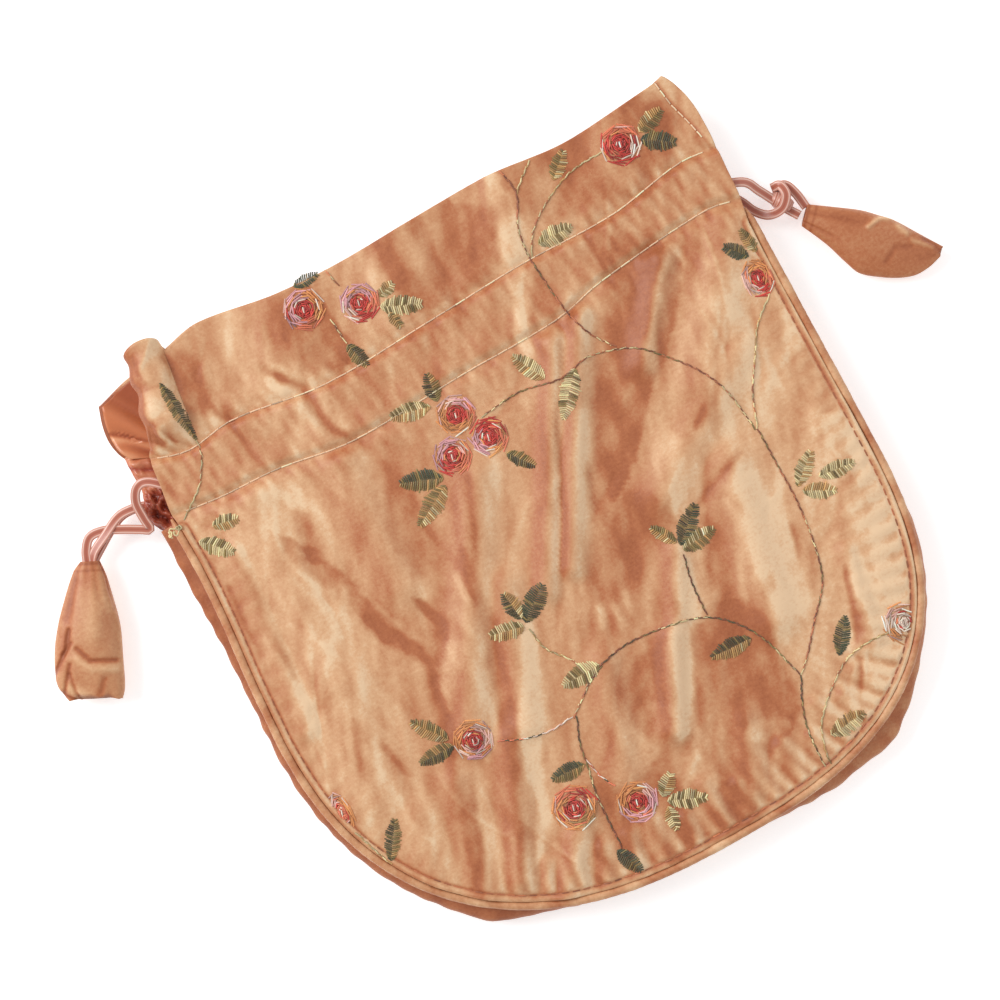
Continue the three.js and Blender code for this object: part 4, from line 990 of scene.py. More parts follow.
TONE_MIDDLE, TONE_LEAST = 0.62, 0.12
TONE_LEAN = (0.55, -0.35)
TONE_CONTRAST = 1.1
BODY_START = HEADER_ROWS + CHANNEL_ROWS + 4


def tone_of(grid, painted):
    """Pale where the silk leans to the light, deeper where it leans away."""
    normals = grid_normals(grid)
    slope = normals[..., 0] * TONE_LEAN[0] + normals[..., 1] * TONE_LEAN[1]
    return np.clip(TONE_MIDDLE + painted + TONE_CONTRAST * slope, TONE_LEAST, 1)


front_panel = cloth("front_panel_silk", front_grid, SILK, {"tone": tone_of(front_grid, painted)}, BODY_START)

# %% [markdown]
# Behind the front lie the front lining, the back lining and the back panel. The back's header sticks out past the
# rolled front one at the left, with the lining's satin side up, so that corner gets its own creases.

# %% Linings and back
SEAM_SETBACK = 0.9


def layer_plan(edge_y, header, mouth, setback, columns, rows):
    """Plan of a whole layer: header between its own sides, channel, and body down to the seam.

    header has the left side's points and the right side's x, mouth the two sides of the channel, and rows how many
    rows the header, the channel and the body get.
    """
    header_rows, channel_rows, body_rows = rows
    t = np.linspace(0, 1, columns + 1)
    left_at = through(header[0])

    def row(left, right, height_at):
        x = lerp(left, right, t)
        return np.stack([x, height_at(x)], -1)

    def header_row(share):
        left = float(left_at(share)) + setback
        low = row(left, header[1], lambda x: upper_stitch(x) + 2)
        high = row(left, header[1], lambda x: edge_y(x) - setback)
        return lerp(high, low, share)

    foot = header_row(1.0)
    upper = row(mouth[0], mouth[1], upper_stitch)
    lower = row(mouth[0], mouth[1], lower_stitch)
    parts = [np.stack([header_row(r / header_rows) for r in range(header_rows)])]
    parts.append(np.stack([lerp(foot, upper, r / 4) for r in range(4)]))
    parts.append(np.stack([lerp(upper, lower, r / channel_rows) for r in range(channel_rows + 1)]))
    parts.append(body_grid(lower, np.linspace(0, 1, body_rows + 1), t, -setback))
    return np.concatenate(parts)


def back_height(thickness, low, high):
    """Height of a back layer's middle, from a low one to a high one between the two rows of stitches."""

    def at(x, y):
        inside = np.minimum(upper_stitch(x) - y, y - lower_stitch(x))
        return low + thickness / 2 + (high - low) * smoothstep(inside, 0, 1.6)

    return at


front_lining_plan = layer_plan(
    front_edge, ([(0, ROLL_VALLEY_FOOT_X + 3), (1, ROLL_VALLEY_FOOT_X + 3)], HEADER_RIGHT_X - SEAM_SETBACK),
    (MOUTH_LEFT_X + BEND_ROOM, MOUTH_RIGHT_X - BEND_ROOM), SEAM_SETBACK, 64, (12, 8, 56),
)
front_lining_grid = with_height(front_lining_plan, lambda x, y: np.full_like(x, FRONT_LINING_Z + LINING / 2))
lining_tone = np.full(front_lining_grid.shape[:2], 0.3)
front_lining = cloth("front_lining_satin", front_lining_grid, LINING, {"tone": lining_tone})

# Each crease of the corner: its line, its half width and how far it lifts the satin.
HEADER_CREASES = [
    ([(-84, 74.6), (-79.4, 71.6), (-75, 67.8)], 0.7, -0.55),
    ([(-83, 65.4), (-80, 62), (-76, 60.5)], 0.8, -0.45),
    ([(-81, 80), (-76.5, 73), (-72, 66)], 2.2, 1.4),
    ([(-83, 69), (-78.5, 65), (-74, 61)], 1.8, 1.1),
    ([(-78, 82), (-74, 76), (-70, 70)], 1.3, 0.35),
]
# Each shade of the corner: its line, its half width and how much paler it is.
CORNER_SHADES = [
    ([(-84, 74.8), (-79.4, 71.8), (-75, 68.0)], 0.45, -0.5), ([(-83.5, 73.2), (-79, 70.2), (-75, 66.4)], 0.9, 0.5),
    ([(-83.5, 70.4), (-79, 67.6), (-75.5, 64.6)], 1.3, -0.2), ([(-82.5, 79.5), (-83.2, 75.5)], 0.9, 0.25),
]


def header_corner_lift(x, y):
    lift = np.zeros_like(x)
    for points, width, rise in HEADER_CREASES:
        for start, end in zip(points, points[1:]):
            away, _ = distance_to_line(x, y, start, end)
            crease = rise * bell(away, width)
            lift = np.where(np.abs(crease) > np.abs(lift), crease, lift)
    return lift * (1 - smoothstep(x, -66, -60))


back_lining_plan = layer_plan(
    back_edge, (BACK_HEADER_LEFT, HEADER_RIGHT_X - SEAM_SETBACK),
    (MOUTH_LEFT_X + BEND_ROOM, MOUTH_RIGHT_X - BEND_ROOM), SEAM_SETBACK, 200, (60, 16, 80),
)
back_lining_grid = with_height(back_lining_plan, back_height(LINING, SILK + GAP, SILK + CHANNEL_ROOM))
lining_x, lining_y = back_lining_grid[..., 0], back_lining_grid[..., 1]
corner = header_corner_lift(lining_x, lining_y)
back_lining_grid[..., 2] += np.maximum(corner, -0.2) + 0.25 * (corner != 0)
# Painted shadow beside the rolled front header, painted light on raised creases and painted shade in sunk ones, and
# paler or darker by the satin's slope to the light.
beside_roll = lining_x + 0.31 * (lining_y - 64) + 76
corner_light_and_shade = 0.66 - 0.62 * smoothstep(beside_roll, -5.5, 1.0) + 0.3 * corner
for points, width, pale in CORNER_SHADES:
    corner_light_and_shade = corner_light_and_shade + pale * bell(line_fields(lining_x, lining_y, points)[0], width)
satin_slope = grid_normals(back_lining_grid)
corner_light_and_shade = corner_light_and_shade + 0.5 * (satin_slope[..., 0] * -0.6 + satin_slope[..., 1] * 0.5)
back_lining = cloth("back_lining_satin", back_lining_grid, LINING, {"tone": np.clip(corner_light_and_shade, 0, 1)})

BACK_MOUTH_LEFT_X = -82.0
BACK_CRUMPLES, BACK_CRUMPLE_SEED, BACK_CRUMPLE_BOX = 90, 23, (-80, 80, -84, 84)
back_plan = layer_plan(
    back_edge, (BACK_HEADER_LEFT, HEADER_RIGHT_X), (BACK_MOUTH_LEFT_X, MOUTH_RIGHT_X - 2), 0.0, 200, (32, 20, 160)
)
back_x, back_y = back_plan[..., 0], back_plan[..., 1]
back_crumple = crumple_fields(back_x, back_y, BACK_CRUMPLES, BACK_CRUMPLE_SEED, BACK_CRUMPLE_BOX)
back_z = SILK / 2 + 0.12 * np.clip(back_crumple, -0.5, 0.5)
back_grid = np.concatenate([back_plan, back_z[..., None]], -1)
# Darker towards the left edge, painted shadow, with painted light and shade on the crumples.
back_shade = np.clip(lerp(0.05, 0.55, smoothstep(back_x, -78, -72)) + 1.2 * back_crumple, 0, 1)
back_panel = cloth("back_panel_silk", back_grid, SILK, {"tone": back_shade})

# %% [markdown]
# At the left mouth of the channel the lining's edge is pulled out and crushed. It is a small cloth with sharp ridges,
# pale satin at its top and deep red in the shadow under the ribbon.

# %% Crushed edge at the left mouth
TUCK_ROWS, TUCK_COLUMNS = 88, 48
TUCK_LEFT = through([
    (45.2, -80.6), (47.6, -82.4), (50, -83.4), (53, -83.5), (56, -82.4), (58.6, -81.8), (61, -81.9), (67, -82.0),
])
TUCK_RIGHT_X = -73.6
TUCK_TOP_Y, TUCK_FOOT_Y = 67, 45.2
TUCK_CRUSH_LOW_Y, TUCK_CRUSH_HIGH_Y = 54.5, 59
TUCK_FOLD = [(-83, 64.8), (-79.5, 62.4), (-75.5, 60.2)]
TUCK_BASE_Z = 0.95


def mouth_tuck():
    """Crushed in its lower part, and with one long fold across its upper part."""
    y = np.repeat(np.linspace(TUCK_TOP_Y, TUCK_FOOT_Y, TUCK_ROWS + 1)[:, None], TUCK_COLUMNS + 1, 1)
    share = np.linspace(0, 1, TUCK_COLUMNS + 1)[None]
    x = lerp(TUCK_LEFT(y), TUCK_RIGHT_X, share)
    ridges = 1 - np.abs(drawn_waves(x, y, 83, 3.2, 7.5, 7, 25, 40))
    small = 1 - np.abs(drawn_waves(x, y, 84, 1.5, 3.2, 6, 40, 60))
    crushed = 1 - smoothstep(y, TUCK_CRUSH_LOW_Y, TUCK_CRUSH_HIGH_Y)
    lift = (0.12 + 0.88 * crushed) * (0.9 * ridges + 0.35 * small)
    long_fold, _, _ = line_fields(x, y, TUCK_FOLD)
    lift = lift + (1 - crushed) * 0.7 * bell(long_fold - 1.4, 1.1)
    z = TUCK_BASE_Z + (1 - smoothstep(y, 64, 66.5)) * np.maximum(0.9 + lift, 0.1)
    z = z * (1 - 0.35 * (1 - smoothstep(share, 0, 0.12)))
    # Painted shadow darkens the crushed part under the ribbon and painted light makes its ridges paler. Painted shade
    # darkens the long fold and the right end under the front.
    tone = lerp(0.74, 0.30, crushed) + lerp(0.10, 0.28, crushed) * (ridges + 0.5 * small - 0.75)
    tone = tone - 0.4 * (1 - crushed) * bell(long_fold, 0.55) - 0.3 * smoothstep(x, -78.5, -76)
    return cloth("back_lining_tuck", np.stack([x, y, z], -1), LINING, {"tone": np.clip(tone, 0, 1)})


back_tuck = mouth_tuck()

# %% [markdown]
# A silk-covered cord is sewn into each of the two seams, and the gusset runs between them. The gusset stands out a
# little on the left, is bunched into pleats at the lower right and is tucked in on the right. Its wrinkles run across
# it.

# %% Piping
PIPING_SIDES = 16
PIPING_STEPS = 640
PIPING_TOP_Y = 48.0
PIPING_FULLNESS = 1.06
PIPING_GAP = 0.14
PIPING_TAPER = 3.5
PIPING_END = 0.35
seam_fine = seam_line(PIPING_STEPS, PIPING_TOP_Y)


def piping(name, z, seed):
    draw = np.random.default_rng(seed)
    out = outward_of(seam_fine)
    along = lengths_along(seam_fine)
    wobble = sum(
        draw.uniform(0.02, 0.05) * np.sin(math.tau * along / draw.uniform(5, 40) + draw.uniform(0, 6))
        for _ in range(8)
    )
    angle = math.tau * np.arange(PIPING_SIDES) / PIPING_SIDES
    gathers = 0.022 * np.sin(math.tau * along[:, None] / 2.3 + 1.5 * angle[None])
    ends = np.minimum(along, along[-1] - along)[:, None]
    taper = PIPING_END + (1 - PIPING_END) * smoothstep(ends, 0, PIPING_TAPER)
    radius = (PIPING / 2 * PIPING_FULLNESS * (1 + gathers) + wobble[:, None] * 0.4) * taper
    reach = PIPING_GAP + PIPING / 2 + radius * np.cos(angle)[None]
    height = z + radius * np.sin(angle)[None]
    rings = np.concatenate([seam_fine[:, None] + out[:, None] * reach[..., None], height[..., None]], -1)
    # Paler on top and darker underneath, painted light and shade, and paler where the cord swells.
    tone = np.clip(0.46 + 1.6 * wobble[:, None] + 1.6 * gathers + 0.10 * np.sin(angle)[None], 0, 1)
    return tube(name, rings, {"tone": tone})


front_piping = piping("front_piping_silk", FRONT_PIPING_Z, 31)
back_piping = piping("back_piping_silk", BACK_PIPING_Z, 32)

# %% Gusset
GUSSET_EDGE = GAP + PIPING / 2
GUSSET_SILK = 0.5
GUSSET_LOW_Z = BACK_PIPING_Z + PIPING / 2 + GAP + GUSSET_SILK / 2
GUSSET_HIGH_Z = FRONT_PIPING_Z - PIPING / 2 - GAP - GUSSET_SILK / 2
GUSSET_STEPS = 520
GUSSET_TOP_Y = 46.8
GUSSET_ACROSS = 14
GUSSET_RIPPLES = 7
# How far the gusset stands out, by the share of the way round from the left mouth to the right one.
gusset_bulge = through([
    (0, 3.6), (0.041, 4.1), (0.069, 3.6), (0.097, 2.8), (0.14, 2.3), (0.18, 2.4), (0.26, 2.6), (0.316, 3.3),
    (0.344, 4.3), (0.366, 2.7), (0.387, 1.5), (0.41, 1.2), (0.44, 0.4), (0.50, 0.4), (0.542, 1.5), (0.564, 2.5),
    (0.585, 3.6), (0.606, 4.0), (0.627, 5.5), (0.651, 4.1), (0.682, 2.2), (0.718, 1.7), (0.765, 1.6), (0.80, 0.6),
    (0.84, -1.8), (1, -2.6),
])


def gusset_strip(name, thickness, distance, trim, bulge_at, wrinkle, seed):
    """A strip round the seam, as a closed tube whose section goes out along one face and back along the other."""
    draw = np.random.default_rng(seed)
    line = seam_line(GUSSET_STEPS, GUSSET_TOP_Y)
    out = outward_of(line)
    along = lengths_along(line)
    share = along / along[-1]
    bulge = bulge_at(share)
    rise = GUSSET_HIGH_Z - GUSSET_LOW_Z
    w = lerp(trim, 1 - trim, np.linspace(0, 1, GUSSET_ACROSS + 1))
    ripples = np.zeros((len(line), len(w)))
    for _ in range(GUSSET_RIPPLES):
        pitch, lean = draw.uniform(3.0, 9.0), draw.uniform(-1.5, 1.5)
        ripples += np.sin(math.tau * along[:, None] / pitch + lean * w[None] + draw.uniform(0, 6)) / GUSSET_RIPPLES
    ripples *= wrinkle * np.sin(math.pi * w)[None]
    slope = 4 * bulge[:, None] * (1 - 2 * w)[None] / rise

    def face(offset):
        reach = (distance + offset) / np.hypot(1, slope)
        n = GUSSET_EDGE + 4 * bulge[:, None] * (w * (1 - w))[None] + ripples + reach
        return np.stack([n, GUSSET_LOW_Z + rise * w[None] - reach * slope], -1)

    section = np.concatenate([face(-thickness / 2), face(thickness / 2)[:, ::-1]], 1)
    rings = np.concatenate([line[:, None] + out[:, None] * section[..., :1], section[..., 1:]], -1)
    # Painted shadow, darker along the left side and round the lower left, with painted light and shade on the ripples.
    deep = lerp(0.12, 0.34, smoothstep(share, 0.30, 0.60))[:, None]
    tone = np.clip(deep + 1.0 * np.concatenate([ripples, ripples[:, ::-1]], 1), 0, 1)
    return tube(name, rings, {"tone": tone})


gusset = gusset_strip("gusset_silk", GUSSET_SILK, 0.0, 0.0, gusset_bulge, 0.34, 41)
gusset_lining = gusset_strip(
    "gusset_lining_satin", LINING, -(GUSSET_SILK / 2 + GAP + LINING / 2), 0.18,
    lambda share: np.minimum(gusset_bulge(share), 0), 0.0, 42,
)

# %% [markdown]
# Each pod is a small silk bag, gathered at its neck and stuffed. Its rings are swept from the neck to the end, with
# the folds that the gathers make running along it. Both its ends are turned in on themselves.

# %% Pods and knots
# "right" and "left" say how far a pod reaches to either side of its line, by the share of the way along it. Each
# crease is a line, its half width and how much paler it is: a painted highlight where positive, painted shade where
# negative.
PODS = {
    "right": {
        "from": (91.4, 40.0), "to": (116.4, 16.6), "base": 0.34,
        "right": [(0, 2.9), (0.08, 3.3), (0.22, 4.0), (0.37, 4.5), (0.5, 4.4), (0.63, 4.1), (0.81, 2.6), (1, 1.0)],
        "left": [(0, 3.0), (0.11, 4.5), (0.24, 6.4), (0.36, 8.6), (0.48, 10.4), (0.64, 10.0), (0.78, 8.9),
                 (0.88, 7.2), (0.95, 4.6), (1, 1.6)],
        "high": [1.6, 2.5, 3, 3, 2.6, 1.9, 1.1], "mouth": 0.5, "ragged": 0.5, "seed": 51,
        "creases": [
            ([(103, 30), (106.4, 30.6), (109.6, 29.2)], 0.6, 0.5), ([(109.6, 26.6), (110.6, 24.4)], 0.8, 0.4),
            ([(111, 22), (114.6, 18.4)], 0.6, 0.3), ([(103, 20.5), (106.6, 22.5), (110, 21)], 0.7, -0.2),
            ([(98, 36), (103, 32)], 1.4, -0.12), ([(114, 21), (116, 17)], 0.8, -0.3),
        ],
    },
    "left": {
        "from": (-100.7, 48.7), "to": (-114.9, 18.8), "base": 0.50,
        "right": [(0, 2.5), (0.1, 3.9), (0.2, 4.7), (0.43, 6.2), (0.62, 6.5), (0.8, 6.9), (0.93, 6.8), (1, 6.2)],
        "left": [(0, 2.5), (0.07, 4.4), (0.3, 7.3), (0.55, 9.3), (0.76, 9.9), (0.9, 9.4), (1, 7.0)],
        "high": [1.8, 3, 3.9, 4.2, 4, 3.5, 2.6], "mouth": 0.72, "ragged": 1.3, "seed": 52,
        "creases": [
            ([(-112.6, 36.4), (-115.6, 32.4), (-121.2, 28.6)], 0.55, -0.6),
            ([(-113.6, 33.4), (-117, 31.8)], 0.5, -0.4), ([(-114.2, 35), (-118.6, 29.6)], 1.6, -0.2),
            ([(-113, 31.6), (-111.4, 27.4), (-106, 24.6)], 0.6, -0.45),
            ([(-119.6, 24.6), (-116, 19.2)], 1.5, 0.25), ([(-121.8, 24), (-117.4, 18)], 0.5, -0.6),
            ([(-114.2, 29.4), (-112.4, 25.8), (-107, 22.8)], 0.9, 0.25),
            ([(-116.4, 29), (-121, 23.6)], 0.5, -0.5), ([(-117.6, 27), (-118.6, 21)], 0.5, -0.4),
            ([(-104.6, 42), (-107.6, 33)], 2.4, 0.16), ([(-105.5, 46), (-112, 39)], 1.2, -0.22),
            ([(-110.6, 22), (-114, 18.6)], 0.8, -0.3), ([(-100.6, 45.6), (-101.8, 36)], 0.9, 0.12),
        ],
    },
}
POD_SIDES = 120
POD_RINGS = 130
POD_MOUTH_DEPTH = 4.0
POD_FOLDS, POD_DENTS = 12, 7
NECK_RINGS = [(2.5, 0.5), (0.3, 0.72)]
TABLE_CLEARANCE = 0.3


def wrapped(angle):
    """The same angle, between minus and plus half a turn."""
    return (angle + math.pi) % math.tau - math.pi


def inner_ring(ring, inward, depth, share):
    """A smaller ring inside a pod, where its cloth turns in."""
    middle = ring.mean(0)
    return middle + (ring - middle) * share + np.array([*inward, 0.0]) * depth


def pod(side):
    """Rings from the neck to the end, gathered, dented and creased, with smaller rings inside both ends."""
    data = PODS[side]
    draw = np.random.default_rng(data["seed"])
    start, end = np.array(data["from"], float), np.array(data["to"], float)
    line = end - start
    length = np.linalg.norm(line)
    across = np.array([-line[1], line[0]]) / length
    middle_z = max(data["high"]) + TABLE_CLEARANCE
    t = np.linspace(0, 1, POD_RINGS)
    knots = np.linspace(0, 1, len(data["high"]))
    right_reach, left_reach = through(data["right"])(t), through(data["left"])(t)
    high = through(list(zip(knots, data["high"])))(t)
    angle = math.tau * np.arange(POD_SIDES) / POD_SIDES
    folds = np.zeros((POD_RINGS, POD_SIDES))
    for _ in range(POD_FOLDS):
        centre, width = draw.uniform(0, math.tau), draw.uniform(0.10, 0.28)
        reach, depth = draw.uniform(0.25, 0.7), draw.uniform(0.05, 0.12)
        turn = wrapped(angle[None] - centre - draw.uniform(-0.5, 0.5) * t[:, None])
        folds -= depth * bell(turn, width) * (1 - smoothstep(t, reach * 0.4, reach))[:, None]
    for _ in range(POD_DENTS):
        centre, place = draw.uniform(0, math.tau), draw.uniform(0.45, 1.0)
        turn = wrapped(angle[None] - centre - draw.uniform(-3, 3) * (t[:, None] - place))
        folds += draw.uniform(-0.06, 0.05) * np.exp(-((turn / 0.3) ** 2) - ((t[:, None] - place) / 0.16) ** 2)
    scale = 1 + folds
    ragged = data["ragged"] * (
        0.6 * np.sin(2 * angle + 1) + 0.4 * np.sin(5 * angle) + 0.25 * np.sin(9 * angle + 2) - 0.5
    )
    rings = []
    for k in range(POD_RINGS):
        side_reach = np.where(np.cos(angle) > 0, right_reach[k], left_reach[k]) * np.cos(angle) * scale[k]
        ring_z = middle_z + high[k] * np.sin(angle) * scale[k]
        centre = start + line * t[k]
        ring = centre + across * side_reach[:, None]
        ring = ring + line / length * (ragged * smoothstep(t[k], 0.72, 1))[:, None]
        rings.append(np.column_stack([ring, ring_z]))
    for depth_share, mouth_share in ((0.0, data["mouth"]), (0.5, data["mouth"] * 0.8), (1.0, data["mouth"] * 0.6)):
        at = 1 - depth_share * POD_MOUTH_DEPTH / length
        side_reach = np.where(np.cos(angle) > 0, right_reach[-1], left_reach[-1]) * mouth_share * np.cos(angle)
        ring_z = middle_z + data["high"][-1] * mouth_share * np.sin(angle)
        rings.append(np.column_stack([start + line * at + across * side_reach[:, None], ring_z]))
    neck = [inner_ring(rings[0], line / length, depth, share) for depth, share in NECK_RINGS]
    rings = np.stack(neck + rings)
    skin = rings[len(neck) : len(neck) + POD_RINGS]
    painted = np.zeros(skin.shape[:2])
    for points, width, pale in data["creases"]:
        crease = bell(line_fields(skin[..., 0], skin[..., 1], points)[0], width)
        painted += pale * crease
        skin[..., 2] += 0.9 * pale * crease * (skin[..., 2] > middle_z)
    # Painted shade in the gathers' folds, at the neck's hem and inside both turned-in ends.
    hem = bell(t * length - 0.5, 0.35) + 0.6 * bell(t * length - 2.2, 0.3)
    tone = np.clip(data["base"] + 2.4 * folds + painted - 0.4 * hem[:, None], 0, 1)
    tone = np.concatenate([np.zeros((len(neck), POD_SIDES)), tone, np.full((3, POD_SIDES), 0.1)])
    return tube(f"{side}_pod_silk", rings, {"tone": tone})


pods = {side: pod(side) for side in PODS}

KNOT_SIDES = 24
KNOT_RINGS = 40


def knot(side):
    """A few turns of ribbon round its own ends, as a bulge with grooves that run round it."""
    data = SIDES[side]
    points = smooth_line(data["knot"], KNOT_RINGS)
    across, above = frames_along(points)
    t = np.linspace(0, 1, len(points))
    radius = through(list(zip(np.linspace(0, 1, len(data["radii"])), data["radii"])))(t)
    angle = math.tau * np.arange(KNOT_SIDES) / KNOT_SIDES
    wraps = 1 + 0.07 * np.abs(np.sin(2.5 * math.pi * t[:, None] + 0.9 * np.sin(angle)[None]))
    reach = radius[:, None] * wraps
    rings = points[:, None] + across[:, None] * (reach * np.cos(angle))[..., None]
    rings = rings + above[:, None] * (reach * np.sin(angle))[..., None]
    # Bands round the knot, read by the ribbon's ramp: painted highlight and painted shade on each turn of ribbon.
    turn_light_and_shade = np.tile(np.sin(5 * math.pi * t)[:, None], (1, KNOT_SIDES))
    return tube(f"{side}_knot", rings, {"across": turn_light_and_shade})


knots = {side: knot(side) for side in SIDES}

# %% [markdown]
# Sewing and embroidery. Every stitch is a short line laid on the silk. Its two ends dip into the cloth and its middle
# stands up a little. Roses are nested straight stitches round a heart, leaves are rows of slanted stitches, and vines
# are stitches that overlap, in turn a little to either side of their line. Geometry Nodes then give the lines their
# round thread.

# %% Thread colours
DYES = {
    "lavender": (214, 156, 160), "pink": (230, 180, 166), "coral": (222, 122, 88), "red": (196, 62, 52),
    "orange": (226, 150, 90), "gold": (184, 144, 88), "cream": (216, 198, 148), "white": (240, 214, 196),
    "olive": (134, 116, 68), "dark": (86, 78, 50), "green": (76, 82, 58), "brown": (128, 72, 50),
    "peach": (242, 206, 170), "rust": (178, 106, 70),
}
thread_draw = np.random.default_rng(97)
STITCH_STEPS = 3


class Threads:
    """Lines of thread on the front, each with its colour and how high its middle stands."""

    def __init__(self):
        self.plans, self.dyes, self.lifts = [], [], []

    def add(self, points, dye, arch, base):
        """A line whose middle stands up by arch, and all of it by base."""
        points = np.asarray(points, float)
        share = np.linspace(0, 1, len(points))
        colour = np.array(DYES[dye]) * (1 + 0.10 * thread_draw.normal())
        self.plans.append(points)
        self.dyes.append(np.clip(colour, 20, 250))
        self.lifts.append(base + arch * 4 * share * (1 - share))

    def stitch(self, start, end, dye, arch, base):
        t = np.linspace(0, 1, STITCH_STEPS + 1)[:, None]
        self.add(lerp(np.asarray(start, float), np.asarray(end, float), t), dye, arch, base)

    def lines(self, height_at, sink):
        """All threads as 3-D points over the cloth, with their colours."""
        flat = np.concatenate(self.plans)
        z = height_at(flat) + np.concatenate(self.lifts) - sink
        return np.column_stack([flat, z]), [len(p) for p in self.plans], self.dyes


# %% Roses
# Each rose: middle, radius, turn, the colours of its sides from the right anticlockwise, its heart, and how narrow it
# is where the cloth curves away.
ROSES = [
    ((-26, 77), 5.0, 10, ["orange", "lavender", "lavender", "lavender", "coral", "orange"], "red"),
    ((-13.5, 72), 4.7, 25, ["lavender", "lavender", "lavender", "pink", "red", "coral"], "red"),
    ((59.5, 75.5), 4.9, 5, ["coral", "coral", "red", "red", "red", "white"], "red"),
    ((73.4, 31.6), 4.7, 20, ["orange", "orange", "pink", "pink", "red", "coral"], "red", 0.82),
    ((-6, 37.5), 4.7, 15, ["lavender", "pink", "orange", "orange", "orange", "coral"], "red"),
    ((-11.5, 29), 4.6, 0, ["pink", "lavender", "lavender", "red", "coral", "coral"], "red"),
    ((-1.5, 29), 4.6, 30, ["red", "red", "lavender", "lavender", "orange", "coral"], "red"),
    ((-39.5, -33), 4.8, 12, ["pink", "orange", "orange", "pink", "lavender", "pink"], "red"),
    ((-26, -59), 5.4, 8, ["red", "coral", "orange", "orange", "gold", "orange"], "red"),
    ((-12, -65), 5.0, 22, ["pink", "orange", "orange", "lavender", "lavender", "lavender"], "red"),
    ((-75.4, -33.4), 5.2, 18, ["orange", "pink", "pink", "orange", "pink", "orange"], "coral", 0.42),
    ((64.6, -57.6), 5.0, 14, ["white", "pink", "white", "orange", "red", "red"], "white"),
]
ROSE_SIDES = 8
ROSE_RINGS = 10
HEART_RING = 6
FLECK_SHARE = 0.22
OUTER_FLECKS = ["pink", "white", "orange"]
INNER_FLECKS = ["white", "coral", "orange", "red"]


def inside_seam(x, y, margin=0.9):
    """Whether plan points lie inside the seam by a margin."""
    x, y = np.atleast_1d(np.asarray(x, float)), np.atleast_1d(np.asarray(y, float))
    limit = curve_point(np.linspace(0, math.pi, 721), -margin)
    low = np.interp(x, limit[:, 0], limit[:, 1], left=99, right=99)
    return (x > -79.4 + margin) & (x < 78 - margin) & ((y > CURVE_TOP_Y) | (y > low))


def rose(threads, middle, radius, turn, colours, heart, narrow=1.0):
    """Rings of straight stitches, each ring smaller and turned further, round a heart of short ones."""
    middle = np.array(middle, float)
    shape = np.array([narrow, 1.0])
    for ring in range(ROSE_RINGS):
        for s in range(ROSE_SIDES):
            away = radius * (0.95 - 0.085 * ring + 0.012 * thread_draw.normal())
            angle = math.radians(turn + 360 * s / ROSE_SIDES + 11 * ring + 7 * thread_draw.normal())
            out = np.array([math.cos(angle), math.sin(angle)])
            tilt = angle + math.pi / 2 + 0.12 * thread_draw.normal()
            side = np.array([math.cos(tilt), math.sin(tilt)])
            half = away * math.tan(math.pi / ROSE_SIDES) * thread_draw.uniform(0.86, 1.12)
            place = int(((angle / math.tau) % 1) * len(colours))
            dye = colours[place] if ring < HEART_RING else heart
            if thread_draw.random() < FLECK_SHARE:
                dye = thread_draw.choice(INNER_FLECKS if ring > 1 else OUTER_FLECKS)
            ends = middle + shape * (out * away + side * half), middle + shape * (out * away - side * half)
            if all(inside_seam(*end)[0] for end in ends):
                threads.stitch(ends[0], ends[1], dye, 0.2, 0.05 * ring)
    if inside_seam(*middle)[0]:
        for k in range(4):
            spot = middle + np.array([0.45 * (k - 1.5), 0.2 * thread_draw.normal()])
            threads.stitch(spot - (0.2, 0.8), spot + (0.2, 0.8), "white" if k == 1 else heart, 0.2, 0.46)


